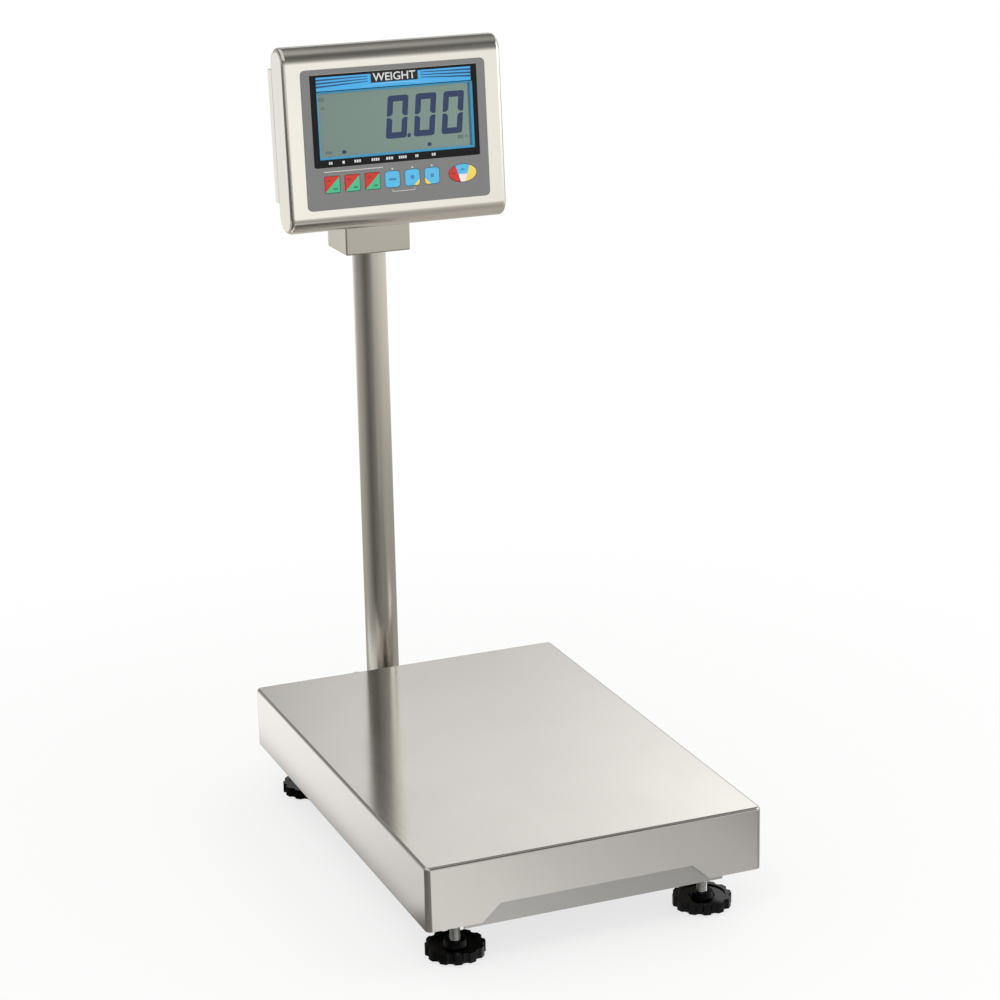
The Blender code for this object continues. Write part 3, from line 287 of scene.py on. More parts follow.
def inset_face(piece: bpy.types.Object, test: Test, rim: float, depth: float) -> None:
    """Insets the faces that pass the test and moves them along their normal.

    Args:
        piece: The piece.
        test: Takes a face's middle and its normal.
        rim: The width that is left round them.
        depth: How far they move out, or in where it is negative.
    """
    with editing(piece):
        choose(piece, Element.FACE, test)
        bpy.ops.mesh.inset(thickness=rim, depth=0.0)
        bpy.ops.mesh.extrude_region_shrink_fatten(TRANSFORM_OT_shrink_fatten={"value": depth})


def apply_modifier(piece: bpy.types.Object, kind: str, **settings: object) -> None:
    """Adds a modifier and applies it.

    Args:
        piece: The piece.
        kind: The modifier's type.
        **settings: Its settings.
    """
    take(piece)
    modifier = piece.modifiers.new(kind, kind)
    for name, value in settings.items():
        setattr(modifier, name, value)
    bpy.ops.object.modifier_apply(modifier=modifier.name)


def combine(piece: bpy.types.Object, operation: str, *tools: bpy.types.Object) -> bpy.types.Object:
    """Cuts the tools from a piece, joins them to it or keeps what they share, and removes them.

    Args:
        piece: The piece.
        operation: DIFFERENCE, UNION or INTERSECT.
        *tools: Closed shapes.

    Returns:
        The piece.
    """
    for tool in tools:
        apply_modifier(piece, "BOOLEAN", operation=operation, object=tool)
        bpy.data.objects.remove(tool)
    return piece


def scallop(
    piece: bpy.types.Object,
    count: int,
    reach: float,
    radius: float,
    span: Point,
    centre: Place = (0.0, 0.0, 0.0),
    axis: Axis = Axis.Z,
    sides: int = 24,
) -> None:
    """Cuts round hollows out of a wheel's rim.

    Args:
        piece: The wheel.
        count: How many hollows it has.
        reach: How far their middles lie from the wheel's.
        radius: Their radius.
        span: Where they start and end along the axis.
        centre: A point on the wheel's axis.
        axis: The way the wheel stands.
        sides: How many sides the cutter has.
    """
    for number in range(count):
        turn = 2 * math.pi * number / count
        over, up = reach * math.cos(turn), reach * math.sin(turn)
        away = {Axis.X: (0.0, over, up), Axis.Y: (over, 0.0, up), Axis.Z: (over, up, 0.0)}[axis]
        place = [a + b for a, b in zip(centre, away)]
        combine(piece, "DIFFERENCE", disc("scallop", radius, *span, place, axis, sides))


def soften(piece: bpy.types.Object, width: float, segments: int = 2, angle: float = 35.0) -> bpy.types.Object:
    """Rounds every sharp edge a little, so that it catches light, and shades the rest smooth.

    Args:
        piece: The piece.
        width: The round's radius, or 0 for none.
        segments: How many faces it has.
        angle: The least angle between two faces at a sharp edge, in degrees.

    Returns:
        The piece.
    """
    if width:
        apply_modifier(
            piece,
            "BEVEL",
            width=width,
            segments=segments,
            limit_method="ANGLE",
            angle_limit=math.radians(angle),
            use_clamp_overlap=True,
        )
    take(piece)
    bpy.ops.object.shade_smooth_by_angle(angle=math.radians(angle))
    apply_modifier(piece, "WEIGHTED_NORMAL", keep_sharp=True, weight=100)
    return piece


def moved(piece: bpy.types.Object, matrix: Matrix) -> bpy.types.Object:
    """Moves a piece by a matrix, with the move put into its mesh."""
    piece.matrix_world = matrix @ piece.matrix_world
    return settle(piece)


def copy_of(piece: bpy.types.Object, name: str, matrix: Matrix) -> bpy.types.Object:
    """Copies a piece with a mesh of its own.

    Args:
        piece: The piece to copy.
        name: The copy's name.
        matrix: The move from the piece to its copy.

    Returns:
        The copy.
    """
    twin = piece.copy()
    twin.data = piece.data.copy()
    twin.name = twin.data.name = name
    bpy.context.scene.collection.objects.link(twin)
    return moved(twin, matrix)


def merged(name: str, *pieces: bpy.types.Object) -> bpy.types.Object:
    """Makes one object of several closed pieces.

    Args:
        name: The new object's name.
        *pieces: The pieces.

    Returns:
        The object.
    """
    take(*pieces)
    if len(pieces) > 1:
        bpy.ops.object.join()
    pieces[0].name = pieces[0].data.name = name
    return pieces[0]


def traced(node: str, name: str, edge: float, segments: int = 2) -> bpy.types.Object:
    """Copies a node's mesh, merges its loose triangles into flat faces and rounds its edges.

    Args:
        node: The node to copy.
        name: The piece's name.
        edge: The radius of its edges.
        segments: How many faces each edge gets.

    Returns:
        The piece, which stands for the node.
    """
    source = frame["nodes"][node]
    piece = bpy.data.objects.new(name, source.data.copy())
    bpy.context.scene.collection.objects.link(piece)
    with editing(piece):
        bpy.ops.mesh.select_all(action="SELECT")
        bpy.ops.mesh.remove_doubles(threshold=SAME)
        bpy.ops.mesh.dissolve_limited(angle_limit=FLAT)
    take(piece)
    bpy.ops.mesh.customdata_custom_splitnormals_clear()
    soften(piece, edge, segments)
    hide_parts(node)
    return piece


def rounded(
    width: float, height: float, corner: float, centre: Point = (0.0, 0.0), steps: int = 6
) -> list[Point]:
    """Gives the outline of a rectangle with round corners.

    Args:
        width: Its width.
        height: Its height.
        corner: The radius of its corners.
        centre: Its middle.
        steps: How many straight runs each corner has.

    Returns:
        Its corners as (x, z).
    """
    points = []
    for a, b, start in ((1, -1, -90), (1, 1, 0), (-1, 1, 90), (-1, -1, 180)):
        x = centre[0] + a * (width / 2 - corner)
        z = centre[1] + b * (height / 2 - corner)
        for step in range(steps + 1):
            turn = math.radians(start + 90 * step / steps)
            points.append((x + corner * math.cos(turn), z + corner * math.sin(turn)))
    return points


def quad(left: float, right: float, low: float, high: float) -> list[Point]:
    """Gives the outline of a plain rectangle, as (x, z)."""
    return [(left, low), (right, low), (right, high), (left, high)]


# Finishes


def linear(colour: str, gain: float = 1.0) -> tuple[float, float, float, float]:
    """Turns an sRGB hex colour into linear values.

    Args:
        colour: The colour, as #rrggbb.
        gain: What its linear values are multiplied by.

    Returns:
        Red, green, blue and alpha.
    """
    values = [int(colour[i : i + 2], 16) / 255 for i in (1, 3, 5)]
    flat = [v / 12.92 if v <= 0.04045 else ((v + 0.055) / 1.055) ** 2.4 for v in values]
    return (*(min(1.0, v * gain) for v in flat), 1.0)


def add_node(
    tree: bpy.types.NodeTree, kind: str, inputs: dict | None = None, **settings: object
) -> bpy.types.Node:
    """Adds a node with its settings, values and links.

    Args:
        tree: The node tree.
        kind: The node's type, without its ShaderNode prefix.
        inputs: By input name or number, a value, an output socket, or a node whose result is used.
        **settings: The node's own settings.

    Returns:
        The node.
    """
    made = tree.nodes.new("ShaderNode" + kind)
    for name, value in settings.items():
        setattr(made, name, value)
    for key, value in (inputs or {}).items():
        if isinstance(value, bpy.types.Node):
            value = next(socket for socket in value.outputs if socket.enabled)
        if isinstance(value, bpy.types.NodeSocket):
            tree.links.new(value, made.inputs[key])
        else:
            made.inputs[key].default_value = value
    return made


@dataclass(frozen=True)
class Finish:
    """A plain finish: one colour that varies a little, with a fine bump.

    Attributes:
        name: The material's name.
        colour: Its sRGB hex colour.
        roughness: Its roughness.
        metallic: 1 for bare metal, 0 for anything else.
        ior: Its index of refraction, which bare metal leaves alone.
        grain: The size of its bump, in metres.
        bump: The strength of its bump.
        drift: How far its colour varies.
        coat: The weight of a clear coat.
        transmission: How much light passes through.
        specular: The strength of its gloss, 0.5 for a clean surface.
        cloud: The size of the slow clouds in its roughness, in metres.
        wear: How far its roughness varies.
    """

    name: str
    colour: str
    roughness: float = 0.5
    metallic: float = 0.0
    ior: float = 1.5
    grain: float = 1.5 * MM
    bump: float = 0.05
    drift: float = 0.06
    coat: float = 0.0
    transmission: float = 0.0
    specular: float = 0.5
    cloud: float = 1 / 9
    wear: float = 0.15

    def pattern(self, tree: bpy.types.NodeTree, place: bpy.types.NodeSocket) -> bpy.types.NodeSocket:
        """Draws the pattern that the colour, the roughness and the bump share.

        Args:
            tree: The material's node tree.
            place: The Object coordinates.

        Returns:
            A socket from 0 to 1.
        """
        noise = add_node(tree, "TexNoise", {"Vector": place, "Scale": 1 / self.grain, "Detail": 3.0})
        return noise.outputs["Fac"]

    def material(self) -> bpy.types.Material:
        """Makes the finish's material the first time it is asked for.

        Returns:
            The material.
        """
        if self.name in bpy.data.materials:
            return bpy.data.materials[self.name]
        made = bpy.data.materials.new(self.name)
        made.use_nodes = True
        tree = made.node_tree
        shader = tree.nodes["Principled BSDF"]
        place = add_node(tree, "TexCoord").outputs["Object"]
        pattern = self.pattern(tree, place)
        cloud = add_node(tree, "TexNoise", {"Vector": place, "Scale": 1 / self.cloud, "Detail": 3.0})
        colour = add_node(
            tree,
            "Mix",
            {0: pattern, 6: linear(self.colour, 1 - self.drift), 7: linear(self.colour, 1 + self.drift)},
            data_type="RGBA",
        )
        # The sum of the two patterns lies mostly between 0.6 and 1.4
        both = add_node(tree, "Math", {0: pattern, 1: cloud}, operation="ADD")
        least, most = self.roughness * (1 - self.wear), min(1.0, self.roughness * (1 + self.wear))
        spread = {"From Min": 0.6, "From Max": 1.4, "To Min": least, "To Max": most}
        rough = add_node(tree, "MapRange", {"Value": both, **spread})
        bump = add_node(tree, "Bump", {"Height": pattern, "Strength": self.bump, "Distance": self.grain})
        tree.links.new(colour.outputs[2], shader.inputs["Base Color"])
        tree.links.new(rough.outputs[0], shader.inputs["Roughness"])
        tree.links.new(bump.outputs[0], shader.inputs["Normal"])
        values = {
            "Metallic": self.metallic,
            "Coat Weight": self.coat,
            "Transmission Weight": self.transmission,
            "Specular IOR Level": self.specular,
        }
        if not self.metallic:
            values["IOR"] = self.ior
        for name, value in values.items():
            shader.inputs[name].default_value = value
        return made


# The real scratches are some 0.05 mm apart. They are drawn 2.5 mm apart and 250 mm long, so that they show.
SCRATCH_RUN, SCRATCH_STEP = 1 / (250 * MM), 1 / (2.5 * MM)


class Grain(Enum):
    """The way that a steel is brushed, as how often its scratches change along X, Y and Z, per metre."""

    ACROSS = (SCRATCH_RUN, SCRATCH_STEP, SCRATCH_STEP)
    DEEP = (SCRATCH_STEP, SCRATCH_RUN, SCRATCH_RUN)
    UPRIGHT = (SCRATCH_STEP, SCRATCH_STEP, SCRATCH_RUN)


@dataclass(frozen=True)
class BrushedSteel(Finish):
    """Stainless sheet ground with a belt, whose scratches draw its reflections out across them."""

    metallic: float = 1.0
    roughness: float = 0.22
    bump: float = 0.012
    drift: float = 0.022
    scratches: Grain = Grain.DEEP

    def pattern(self, tree: bpy.types.NodeTree, place: bpy.types.NodeSocket) -> bpy.types.NodeSocket:
        """Draws the scratches, long along the grain and fine across it."""
        stretch = add_node(tree, "Mapping", {"Vector": place, "Scale": self.scratches.value})
        return add_node(tree, "TexNoise", {"Vector": stretch, "Scale": 1.0, "Detail": 4.0}).outputs["Fac"]


class Ink(Enum):
    """Colours that are printed on the keypad, the window, the keys and the glass, and the painted shade at
    the glass's right edge.
    """

    HEADER_BLUE = "#45ace8"
    HEADER_NIGHT = "#174a78"
    HEADER_LIGHT = "#86c9f4"
    LABEL_BLACK = "#101012"
    WHITE = "#d9dbdc"
    DIGIT = "#22355b"
    # Painted shade, not a print: the dark strip at the right edge of the liquid crystal glass
    SHADE = "#33647c"
    FAINT = "#5f7272"
    RED = "#cc3226"
    DARK_RED = "#a32a22"
    GREEN = "#44bd8b"
    DARK_GREEN = "#2c8564"
    BLUE = "#57bbe8"
    DARK_BLUE = "#3c88b4"
    YELLOW = "#f0d763"
    KEY_WHITE = "#ece9ea"


# Belt-ground stainless: the platter's scratches run from front to back
PLATTER_STEEL = BrushedSteel("belt_ground_stainless", "#dedad4", roughness=0.13)
# Panel behind the notch: the same steel, brushed from side to side and duller, and painted darker as the
# shade that falls in the notch
PANEL_STEEL = BrushedSteel("dull_panel_stainless", "#bebcb8", roughness=0.36, scratches=Grain.ACROSS)
# Polished tube: it mirrors its surroundings as long upright stripes
TUBE_STEEL = BrushedSteel("polished_tube_stainless", "#cfccc2", roughness=0.24, scratches=Grain.UPRIGHT)
# Satin stainless of the display case: warm and soft
CASE_STEEL = BrushedSteel("satin_case_stainless", "#e9e5da", roughness=0.16, scratches=Grain.ACROSS)
# Folded bracket steel: duller than the case
BRACKET_STEEL = BrushedSteel("folded_bracket_stainless", "#cbc7bd", roughness=0.3, scratches=Grain.UPRIGHT)
# Pickled stainless of the hidden frame: grey, cloudy and rough
FRAME_STEEL = Finish("pickled_frame_stainless", "#a3a3a0", 0.42, 1.0, grain=4 * MM, drift=0.1)
# Bright zinc plate: cool and a little blue
ZINC = Finish("bright_zinc_plate", "#e6e7e4", 0.2, 1.0, grain=2 * MM, drift=0.08)
# Milled aluminium: pale, with a faint tool pattern
MILLED_ALUMINIUM = Finish("milled_aluminium", "#c9ccce", 0.34, 1.0, grain=1.2 * MM, bump=0.08)
# Moulded nylon: black and glossy on its rounds
NYLON = Finish(
    "moulded_black_nylon", "#030303", 0.12, ior=1.53, grain=1 * MM, bump=0.02, drift=0.2, specular=0.16
)
# Nitrile rubber: dull black with a dusty bloom
RUBBER = Finish("moulded_black_rubber", "#1c1c1b", 0.75, ior=1.52, grain=1.2 * MM, bump=0.12, drift=0.15)
# Cable jacket: soft dark vinyl, with a low sheen
JACKET = Finish("grey_vinyl_jacket", "#2b2c2e", 0.5, ior=1.54, grain=2 * MM, drift=0.1)
# Polyester film, printed on its back: even grey with a fine matt tooth
FILM = Finish("matt_polyester_film", "#7a7b7a", 0.42, ior=1.57, grain=0.8 * MM, bump=0.06, drift=0.03)
# Acrylic window, printed black on its back: deep gloss
WINDOW_ACRYLIC = Finish(
    "black_backed_acrylic", "#060708", 0.07, ior=1.49, grain=6 * MM, bump=0.004, drift=0.1, specular=0.2
)
# Blue plastic lining between the window and the glass: an even blue edge
LINING = Finish("blue_window_lining", "#3f9cc6", 0.35, ior=1.49, grain=3 * MM, bump=0.01)
# Circuit boards under solder mask: green, with a soft gloss
BOARD = Finish("green_solder_mask", "#1d5a35", 0.35, ior=1.5, grain=2.5 * MM, bump=0.08, drift=0.25)
# Shrink wrap round the battery: dark blue, with a soft gloss
WRAP = Finish("blue_shrink_wrap", "#27303a", 0.35, ior=1.5, grain=5 * MM, bump=0.05)
# Acrylic vial with its liquid: clear, glossy and yellow-green
VIAL = Finish("tinted_vial_acrylic", "#b7cf4a", 0.05, ior=1.49, grain=5 * MM, bump=0.0, transmission=0.6)


@dataclass(frozen=True)
class LcdGlass(Finish):
    """Reflective liquid crystal glass: grey-green, with painted light that makes it lighter to the right, and
    faint electrode lines.

    The real lines are some 0.3 mm apart. They are drawn 1.6 mm apart, so that they show.

    Attributes:
        pitch: How far apart the lines are drawn.
        lines: How strong they are.
        reach: How far from the middle the painted light across it runs.
    """

    pitch: float = 1.6 * MM
    lines: float = 0.12
    reach: float = 100 * MM

    def pattern(self, tree: bpy.types.NodeTree, place: bpy.types.NodeSocket) -> bpy.types.NodeSocket:
        """Draws the electrode lines over painted light that grows from left to right.

        Args:
            tree: The material's node tree.
            place: The Object coordinates.

        Returns:
            A socket from 0 to 1.
        """
        across = add_node(tree, "SeparateXYZ", {0: place}).outputs[0]
        # Painted light: the colour runs from darker at the left to lighter at the right
        drift = add_node(tree, "MapRange", {"Value": across, "From Min": -self.reach, "From Max": self.reach})
        turns = add_node(tree, "Math", {0: across, 1: 2 * math.pi / self.pitch}, operation="MULTIPLY")
        wave = add_node(tree, "Math", {0: turns}, operation="SINE")
        level = add_node(tree, "Math", {0: wave, 1: self.lines, 2: drift}, operation="MULTIPLY_ADD")
        return level.outputs[0]


# Liquid crystal glass, painted lighter to the right as light
LCD = LcdGlass("reflective_lcd_glass", "#70877e", 0.2, ior=1.52, bump=0.0, drift=0.1, coat=0.3)


def ink(colour: Ink) -> Finish:
    """Screen-printing ink under film: flat and even, with a low sheen."""
    name = f"printed_{colour.name.lower()}"
    return Finish(name, colour.value, 0.38, ior=1.5, grain=1 * MM, bump=0.01, drift=0.03)


def dress(piece: bpy.types.Object, body: str, slot: str, *finishes: Finish) -> bpy.types.Object:
    """Gives a piece its finishes and the body that it moves with.

    Args:
        piece: The piece.
        body: The body's name.
        slot: The record's material slot; not used.
        *finishes: One finish for each of the piece's materials.

    Returns:
        The piece.
    """
    piece.data.materials.clear()
    for finish in finishes:
        piece.data.materials.append(finish.material())
    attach(piece, body)
    log.info("%s: %d faces on %s", piece.name, len(piece.data.polygons), body)
    return piece


def repaint(finish: Finish, *nodes: str) -> None:
    """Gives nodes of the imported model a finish.

    Args:
        finish: The finish.
        *nodes: The nodes.
    """
    for node in nodes:
        source = frame["nodes"][node]
        source.data.materials.clear()
        source.data.materials.append(finish.material())
        log.info("%s: keeps its solid, in %s", node, finish.name)


# Fasteners


@dataclass
class Fasteners:
    """Nuts, bolts, washers, studs and screws."""

    pitch: float = 1.75 * MM
    thread_depth: float = 1.0 * MM
    thread_steps: int = 24
    chamfer: float = 1.1 * MM

    def nut(self, name: str, width: float, low: float, high: float, hole: float = 0.0) -> bpy.types.Object:
        """Makes a hexagon with the corners of its ends turned down.

        Args:
            name: The piece's name.
            width: Its width across flats.
            low: Its lower face.
            high: Its upper face.
            hole: The radius of its hole, or 0 for a bolt's head.

        Returns:
            The nut, on the origin's axis.
        """
        corner = width / 2 / math.cos(math.pi / 6)
        body = disc(name, corner, low, high, sides=6)
        turned = disc("turned", corner, low, high)
        round_edges(turned, self.chamfer, 1, lambda middle, run: abs(run.z) < 0.5)
        combine(body, "INTERSECT", turned)
        if hole:
            combine(body, "DIFFERENCE", disc("hole", hole, low - MM, high + MM, sides=32))
        return soften(body, 0.15 * MM)

    def stud(self, name: str, radius: float, low: float, high: float) -> bpy.types.Object:
        """Makes a threaded rod: an upright edge, drawn out to a tooth in two moves, wound up and cut off.

        Args:
            name: The piece's name.
            radius: Its outer radius.
            low: Its lower end.
            high: Its upper end.

        Returns:
            The stud, on the origin's axis.
        """
        turns = math.ceil((high - low) / self.pitch) + 2
        rod = plate(name, quad(radius - self.thread_depth, radius, 0.0, self.pitch), 0.0, MM)
        with editing(rod):
            choose(rod, Element.CORNER, lambda place, _: place.y > MM / 2 or place.x > radius - MM / 2)
            bpy.ops.mesh.delete(type="VERT")
            bpy.ops.mesh.select_all(action="SELECT")
            bpy.ops.mesh.subdivide(number_cuts=3)
            for reach in (self.pitch / 3, self.pitch / 10):
                choose(rod, Element.CORNER, lambda place, _: abs(place.z - self.pitch / 2) < reach)
                bpy.ops.transform.translate(value=(self.thread_depth / 2, 0.0, 0.0))
        apply_modifier(
            rod,
            "SCREW",
            angle=2 * math.pi,
            steps=self.thread_steps,
            render_steps=self.thread_steps,
            screw_offset=self.pitch,
            iterations=turns,
            use_merge_vertices=True,
            merge_threshold=NEAR,
        )
        with editing(rod):
            bpy.ops.mesh.select_all(action="SELECT")
            bpy.ops.mesh.remove_doubles(threshold=SAME)
            bpy.ops.mesh.select_all(action="DESELECT")
            bpy.ops.mesh.select_mode(type="EDGE")
            bpy.ops.mesh.select_non_manifold()
            bpy.ops.mesh.fill_holes(sides=0)
            outward()
        moved(rod, Matrix.Translation((0.0, 0.0, low - self.pitch)))
        combine(rod, "INTERSECT", disc("length", radius + MM, low, high, sides=48))
        return soften(rod, 0.0, angle=50)

    def pan_head(self, name: str, radius: float, height: float) -> bpy.types.Object:
        """Makes a cross-recess screw head that faces +Y, with its seat at the origin.

        Args:
            name: The piece's name.
            radius: The head's radius.
            height: The head's height.

        Returns:
            The head.
        """
        head = disc(name, radius, 0.0, height, axis=Axis.Y, sides=40)
        round_edges(head, height * 0.8, 5, lambda middle, run: middle.y > height * 0.9)
        long, short, floor = radius * 0.62, radius * 0.14, height * 0.45
        for a, b in ((long, short), (short, long)):
            combine(head, "DIFFERENCE", block("cross", (-a, floor, -b), (a, height + MM, b)))
        return soften(head, 0.06 * MM, 1)


FASTENERS = Fasteners()


# Platform


@dataclass
class Platform:
    """The platter on its base: folded sheet over a hidden frame, spider and load cell."""

    sheet: float = 1.5 * MM
    fold: float = 3.3 * MM
    corner: float = 6.5 * MM
    notch_width: float = 229 * MM
    notch_height: float = 19.5 * MM
    notch_flare: float = 21.5 * MM
    edge: float = 0.35 * MM

    def build(self) -> None:
        """Builds the platter and the front panel, and repaints what is under them."""
        self.platter()
        # The panel behind the notch carries painted shade: its steel is darker than the platter's
        panel = traced("front_panel", "front_plate", 0.5 * MM, 3)
        dress(panel, "base", "brushed_stainless", PANEL_STEEL)
        repaint(FRAME_STEEL, "base_frame", "load_spider")
        repaint(MILLED_ALUMINIUM, "load_cell")
        repaint(RUBBER, *(f"corner_pad_{corner}" for corner in CORNERS))
        repaint(ZINC, *(f"overload_stop_{corner}" for corner in CORNERS))
        repaint(JACKET, "load_cell_lead")

    def platter(self) -> None:
        """Folds the platter from one sheet, with a notch in its front and rear skirts."""
        low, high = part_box("platter")
        tray = block("platter_plate", low, high)
        with editing(tray):
            choose(tray, Element.FACE, lambda middle, normal: normal.z < -0.5)
            bpy.ops.mesh.delete(type="FACE")
        round_edges(tray, self.corner, 6, lambda middle, run: abs(run.z) > 0.5)
        round_edges(tray, self.fold, 5, lambda middle, run: middle.z > high.z - NEAR)
        apply_modifier(tray, "SOLIDIFY", thickness=self.sheet, offset=-1.0, use_even_offset=True)
        notch = block(
            "notch",
            (-self.notch_width / 2, low.y - MM, low.z - MM),
            (self.notch_width / 2, high.y + MM, low.z + self.notch_height),
        )
        with editing(notch):
            choose(notch, Element.FACE, lambda middle, normal: normal.z < -0.5)
            flare = 1 + 2 * self.notch_flare * (1 + MM / self.notch_height) / self.notch_width
            bpy.ops.transform.resize(value=(flare, 1.0, 1.0), center_override=(0.0, 0.0, 0.0))
        combine(tray, "DIFFERENCE", notch)
        soften(tray, self.edge)
        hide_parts("platter")
        dress(tray, "platter", "brushed_stainless", PLATTER_STEEL)


@dataclass
class ScrewFoot:
    """A screw foot: a scalloped hand wheel on a threaded stud, over a rubber pad, under a lock nut."""

    radius: float = 33.5 * MM
    low: float = 2.5 * MM
    high: float = 14.5 * MM
    lobes: int = 12
    scallop: float = 5.2 * MM
    notch: float = 3.2 * MM
    rim: float = 7.0 * MM
    dish: float = 1.6 * MM
    hub: float = 12.0 * MM
    hub_skirt: float = 3.0 * MM
    hub_top: float = 19.0 * MM
    pad_radius: float = 23.0 * MM
    pad_height: float = 4.0 * MM
    sole_rims: Point = (4.0 * MM, 2.0 * MM)
    sole_hollow: float = 1.0 * MM
    stud_radius: float = 6.0 * MM
    bore_low: float = 9.0 * MM
    bore_high: float = 30.0 * MM
    nut_width: float = 19.0 * MM
    fit: float = 0.3 * MM

    def build(self) -> None:
        """Makes the pieces once and copies them to the four corners."""
        lows = {corner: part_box(f"foot_stud_{corner}") for corner in CORNERS}
        first = lows["front_left"]
        nut_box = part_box("lock_nut_front_left")
        pieces = {
            "foot_knob": (self.wheel(), "foot_screw", "black_plastic", NYLON),
            "foot_pad": (self.pad(), "foot_pad", "black_rubber", RUBBER),
            "foot_stud": (
                FASTENERS.stud("stud", self.stud_radius, first[0].z, first[1].z),
                "foot_screw",
                "zinc_steel",
                ZINC,
            ),
            "lock_nut": (
                FASTENERS.nut("nut", self.nut_width, nut_box[0].z, nut_box[1].z, self.stud_radius + self.fit),
                "base",
                "zinc_steel",
                ZINC,
            ),
        }
        for corner, (low, high) in lows.items():
            to_corner = Matrix.Translation(((low.x + high.x) / 2, (low.y + high.y) / 2, 0.0))
            for node, (model, body, slot, finish) in pieces.items():
                piece = copy_of(model, f"{node}_fine_{corner}", to_corner)
                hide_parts(f"{node}_{corner}")
                dress(piece, body if body == "base" else f"{body}_{corner}", slot, finish)
        for model, *_ in pieces.values():
            bpy.data.objects.remove(model)

    def wheel(self) -> bpy.types.Object:
        """Makes the hand wheel: a scalloped disc with a dished top and a hub.

        Returns:
            The wheel, on the origin's axis.
        """
        wheel = disc("wheel", self.radius, self.low, self.high, sides=120)
        top = self.high - 0.1 * MM
        inset_face(wheel, lambda middle, normal: middle.z > top, self.rim, -self.dish)
        reach = self.radius + self.scallop - self.notch
        scallop(wheel, self.lobes, reach, self.scallop, (0.0, self.bore_high))
        foot = self.hub + self.hub_skirt
        hub = disc("hub", foot, self.high - self.dish - 0.5 * MM, self.hub_top, sides=48)
        with editing(hub):
            choose(hub, Element.FACE, lambda middle, normal: normal.z > 0.5)
            shrink = self.hub / foot
            bpy.ops.transform.resize(value=(shrink, shrink, 1.0), center_override=(0.0, 0.0, self.hub_top))
        combine(wheel, "UNION", hub)
        seat = disc("seat", self.pad_radius + self.fit, 0.0, self.pad_height + self.fit, sides=72)
        bore = disc("bore", self.stud_radius + self.fit, self.bore_low, self.bore_high, sides=48)
        combine(wheel, "DIFFERENCE", seat, bore)
        return soften(wheel, 1.1 * MM, 3)

    def pad(self) -> bpy.types.Object:
        """Makes the rubber pad, with a sole that is hollow in the middle.

        Returns:
            The pad, on the origin's axis.
        """
        pad = disc("pad", self.pad_radius, 0.0, self.pad_height, sides=72)
        outer, inner = self.sole_rims
        inset_face(pad, lambda middle, normal: normal.z < -0.5, outer, 0.0)
        inset_face(
            pad, lambda middle, normal: normal.z < -0.5 and middle.length < MM, inner, -self.sole_hollow
        )
        return soften(pad, 0.5 * MM)


